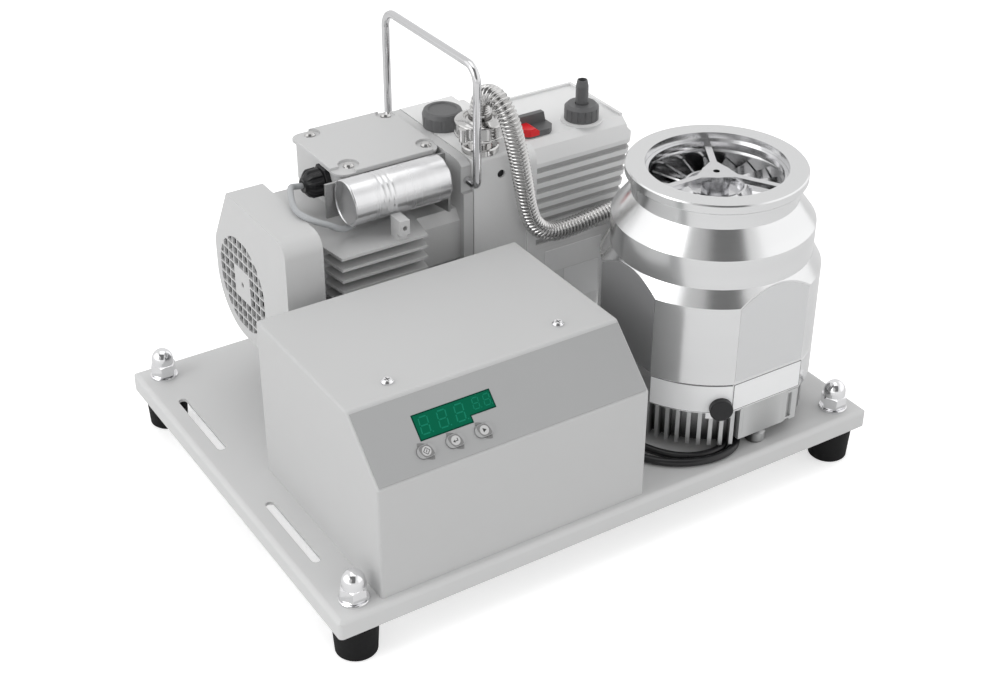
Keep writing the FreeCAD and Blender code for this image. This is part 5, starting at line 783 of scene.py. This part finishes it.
def crossOutline(centre, half, wide):
    # Twelve corners of an upright cross
    corners = [(wide, wide), (wide, half), (-wide, half), (-wide, wide), (-half, wide), (-half, -wide),
               (-wide, -wide), (-wide, -half), (wide, -half), (wide, -wide), (half, -wide), (half, wide)]
    return np.add(centre, corners)


def dressOilBox():
    spec = oilTrim
    plates("oil_box_lip", ground, [spec["lip"]], *spec["lipHeights"], "blockGrey", "station", "pump_grey")
    for finish, size in spec["plates"].items():
        plates("oil_box_" + finish, spec["front"], [roundBox(*size, spec["round"])], *spec["plateHeights"],
               finish, "station", "overlay")


def dressScrews():
    outlines = [crossOutline(place, crosses["half"], crosses["wide"]) for place in crosses["centres"]]
    plates("screw_crosses", ground, outlines, *crosses["heights"], "keyInk", "station", "black_plastic")


dressOilBox()
dressScrews()
print("oil box and screws dressed")


# Turned pieces: a profile of length and radius carried round an axis, with lobes or ribs where it has them

def turned(name, start, axis, profile, finish, body, slot, replaced=(), around=96, ribs=None, loop=False):
    # Radius at a point is the profile's, times one plus the ribs' wave where the profile allows it;
    # a looped profile makes a ring, and any other starts and ends on the axis
    start, axis = np.array(start, float), np.array(axis, float)
    side = np.array([0, 0, 1.0]) if abs(axis[2]) < 0.9 else np.array([1.0, 0, 0])
    up = np.cross(axis, side)
    turn = np.linspace(0, 2 * math.pi, around, endpoint=False)
    ring = side * np.cos(turn)[:, None] + up * np.sin(turn)[:, None]
    shape = np.array([row[:2] for row in profile], float)
    share = np.array([row[2] if len(row) > 2 else 0 for row in profile], float)
    wave = ribs(turn) if ribs else np.zeros(around)
    radius = shape[:, 1][:, None] * (1 + share[:, None] * wave)
    places = start + shape[:, 0][:, None, None] * axis + ring[None, :, :] * radius[:, :, None]
    return dress(gridPiece(name, places, loop, sharp=28), finish, body, slot, *replaced)


capacitorCan = {
    "left": (-92, 55, 204.7), "length": 80, "radius": 17.3, "dents": (24, 28, 32), "dentDepth": 0.2,
    "dentWidth": 1.1, "rows": ((1.8, 22, 4), (22, 34, 0.35), (34, 77.5, 5)),
    "nearEnd": [(0.9, 0.01), (0.9, 15.4), (0.2, 15.9), (0, 16.5), (0.3, 17.2), (0.9, 17.45), (1.5, 17.3)],
    "farEnd": [(-1.2, 17.3), (-0.3, 16.8), (0, 16), (0, 4), (1.9, 3.8), (1.9, 0.01)],
}


def dressCapacitor():
    # Drawn can: rolled rim and sunk disc at the near end, three crimped rings, shoulder and stud at the far
    spec = capacitorCan
    along = np.concatenate([np.arange(*row) for row in spec["rows"]])
    dent = sum(np.exp(-((along - place) / spec["dentWidth"]) ** 2) for place in spec["dents"])
    wall = [(x, spec["radius"] - spec["dentDepth"] * d) for x, d in zip(along, dent)]
    farEnd = [(spec["length"] + x, radius) for x, radius in spec["farEnd"]]
    turned("capacitor_can", spec["left"], (1, 0, 0), [*spec["nearEnd"], *wall, *farEnd], "capacitorCan",
           "station", "bare_aluminium", ["capacitor"])


gland = {
    "seat": (-84, 100.5, 202.2), "ribs": 10, "ribDepth": 0.07, "steep": 2.2, "nutAround": 72,
    "capAround": 120,
    "nut": [(-0.2, 0.01), (-0.2, 12.3, 1), (0.5, 12.7, 1), (3.6, 12.7, 1), (4.2, 12.2, 1), (4.2, 9.3),
            (6, 9.3), (6, 0.01)],
    "cap": [(5.2, 0.01), (5.2, 10), (5.8, 10.4, 1), (13.2, 10.2, 1), (14.8, 9.3, 0.9), (16.6, 7.6, 0.5),
            (17.4, 6.4), (18.9, 5.6), (19, 4.6), (18.2, 2.4), (17, 0.01)],
}


def glandRibs(turn):
    # Ten ribs with steep sides
    return gland["ribDepth"] * np.clip(np.cos(gland["ribs"] * turn) * gland["steep"], -1, 1)


def hexFlats(turn):
    # A hexagon's edge against the circle round its corners
    return np.cos(math.pi / 6) / np.cos((turn + math.pi / 6) % (math.pi / 3) - math.pi / 6) - 1


def dressGland():
    # Lock nut with hexagon flats, and the ribbed cap nut with the sealing nose the cable leaves by
    seat, axis = gland["seat"], (-1, 0, 0)
    turned("gland_lock_nut", seat, axis, gland["nut"], "blackPlastic", "station", "black_plastic",
           ["cable_gland"], gland["nutAround"], hexFlats)
    turned("gland_cap", seat, axis, gland["cap"], "blackPlastic", "station", "black_plastic", (),
           gland["capAround"], glandRibs)


clampLips = {
    "upper_clamp_near_lip": ((25.8, 61.1, 233.95), (0, 0, 1)),
    "upper_clamp_far_lip": ((25.8, 61.1, 233.95), (0, 0, -1)),
    "lower_clamp_far_lip": ((150, 7.35, 92), (0, -1, 0)),
}
lipProfile = [(3.9, 18.4), (4.3, 19), (5.3, 19.1), (5.9, 18.6), (6.6, 17.6), (8.4, 13.4), (8.3, 12.7),
              (7.4, 12.45), (5.8, 12.4), (3.9, 17.5)]
sidePlug = {"place": (35, 47.4, 198.4), "profile": [(0, 0.01), (0, 2.7), (0.4, 3.25), (6, 3.25), (6, 0.01)]}


def dressClamps():
    # Rolled lips of the clamps, coned towards the pipe; the lower clamp has only its far one
    for name, (centre, axis) in clampLips.items():
        turned(name, centre, axis, lipProfile, "stainless", "station", "stainless", loop=True)


def plugBlock():
    # The plug in the pump block's front
    turned("side_plug", sidePlug["place"], (0, 1, 0), sidePlug["profile"], "blackPlastic", "station",
           "black_plastic", around=40)


dressCapacitor()
dressGland()
dressClamps()
plugBlock()
print("capacitor, gland, clamps and plug dressed")


# Studio: pale floor, soft surroundings with panels, brighter or darker than the rest, and three lamps

studio = {
    "floorSize": 12, "floorColor": 0.82, "floorGlow": 0.55, "skyLevel": 0.86,
    "panels": [  # where each hangs, its half width, half height, soft edge and what it adds to the level
        ((-0.4, -0.6, 0.72), 0.48, 0.55, 0.14, -0.68),
        ((-0.98, 0.05, 0.2), 0.9, 0.8, 0.45, 0.42),
        ((0.93, -0.35, 0.1), 0.8, 0.7, 0.45, 0.32),
    ],
}
lamps = {
    "overhead": {"place": (0.1, 0.3, 2.4), "aim": (0, 0, 0.1), "size": 1.8, "power": 7},
    "left": {"place": (-2.3, 0.1, 1.5), "aim": (0, 0, 0.15), "size": 1.5, "power": 11},
    "front": {"place": (-0.7, -2.3, 1.5), "aim": (0, 0.1, 0.15), "size": 1.4, "power": 9, "hidden": True},
}


def skyPanel(tree, direction, centre, wide, tall, soft, change):
    # A rectangle seen along a direction: its two tangents decide how far inside its soft edges a ray falls
    ahead = Vector(centre).normalized()
    right = ahead.cross(Vector((0, 0, 1))).normalized()
    dots = []
    for way in (ahead, right, right.cross(ahead)):
        node = tree.nodes.new("ShaderNodeVectorMath")
        node.operation = "DOT_PRODUCT"
        node.inputs[1].default_value = way
        tree.links.new(direction, node.inputs[0])
        dots.append(node.outputs["Value"])
    depth = mathNode(tree, "MAXIMUM", dots[0], 0.001)
    inside = None
    for across, half in ((dots[1], wide), (dots[2], tall)):
        ease = tree.nodes.new("ShaderNodeMapRange")
        ease.interpolation_type = "SMOOTHSTEP"
        for key, number in (("From Min", half + soft), ("From Max", half), ("To Min", 0), ("To Max", 1)):
            ease.inputs[key].default_value = number
        away = mathNode(tree, "ABSOLUTE", mathNode(tree, "DIVIDE", across, depth), 0)
        tree.links.new(away, ease.inputs["Value"])
        eased = ease.outputs["Result"]
        inside = mathNode(tree, "MULTIPLY", inside, eased) if inside else eased
    return mathNode(tree, "MULTIPLY", inside, change)


def paintWorld():
    # White where the camera or a clear piece looks through; elsewhere the studio's levels by direction
    world = bpy.data.worlds.new("surroundings")
    bpy.context.scene.world = world
    world.use_nodes = True
    tree = world.node_tree
    direction = tree.nodes.new("ShaderNodeTexCoord").outputs["Generated"]
    total = studio["skyLevel"]
    for spec in studio["panels"]:
        total = mathNode(tree, "ADD", total, skyPanel(tree, direction, *spec))
    path = tree.nodes.new("ShaderNodeLightPath")
    blend = tree.nodes.new("ShaderNodeMix")
    seen = mathNode(tree, "MAXIMUM", path.outputs["Is Camera Ray"], path.outputs["Is Transmission Ray"])
    tree.links.new(seen, blend.inputs["Factor"])
    tree.links.new(total, blend.inputs["A"])
    blend.inputs["B"].default_value = 1
    back = tree.nodes["Background"]
    back.inputs["Color"].default_value = (1, 1, 1, 1)
    tree.links.new(blend.outputs["Result"], back.inputs["Strength"])


def layFloor():
    # Diffuse floor that takes the shadow and looks lighter to the camera
    half = studio["floorSize"] / 2
    mesh = bpy.data.meshes.new("floor")
    corners = [(-half, -half, 0), (half, -half, 0), (half, half, 0), (-half, half, 0)]
    mesh.from_pydata(corners, [], [(0, 1, 2, 3)])
    floor = bpy.data.objects.new("floor", mesh)
    bpy.context.scene.collection.objects.link(floor)
    paint = Paint("floor")
    paint.set(Roughness=0.9, Specular_IOR_Level=0.0)
    paint.shader.inputs["Base Color"].default_value = (*[studio["floorColor"]] * 3, 1)
    path = paint.add("ShaderNodeLightPath")
    glow = paint.add("ShaderNodeEmission")
    paint.join(mathNode(paint.tree, "MULTIPLY", path.outputs["Is Camera Ray"], studio["floorGlow"]),
               glow.inputs["Strength"])
    both = paint.add("ShaderNodeAddShader")
    paint.join(paint.shader.outputs["BSDF"], both.inputs[0])
    paint.join(glow.outputs["Emission"], both.inputs[1])
    paint.join(both.outputs["Shader"], paint.tree.nodes["Material Output"].inputs["Surface"])
    floor.data.materials.append(paint.material)


def hangLamps():
    for name, spec in lamps.items():
        light = bpy.data.lights.new(name, "AREA")
        light.energy = spec["power"]
        light.size = spec["size"]
        lamp = bpy.data.objects.new(name, light)
        bpy.context.scene.collection.objects.link(lamp)
        lamp.location = spec["place"]
        aim = Vector(spec["aim"]) - Vector(spec["place"])
        lamp.rotation_euler = aim.to_track_quat("-Z", "Y").to_euler()
        lamp.visible_glossy = not spec.get("hidden")


paintWorld()
layFloor()
hangLamps()
print("studio lit")

bpy.context.scene.view_settings.view_transform = "Standard"
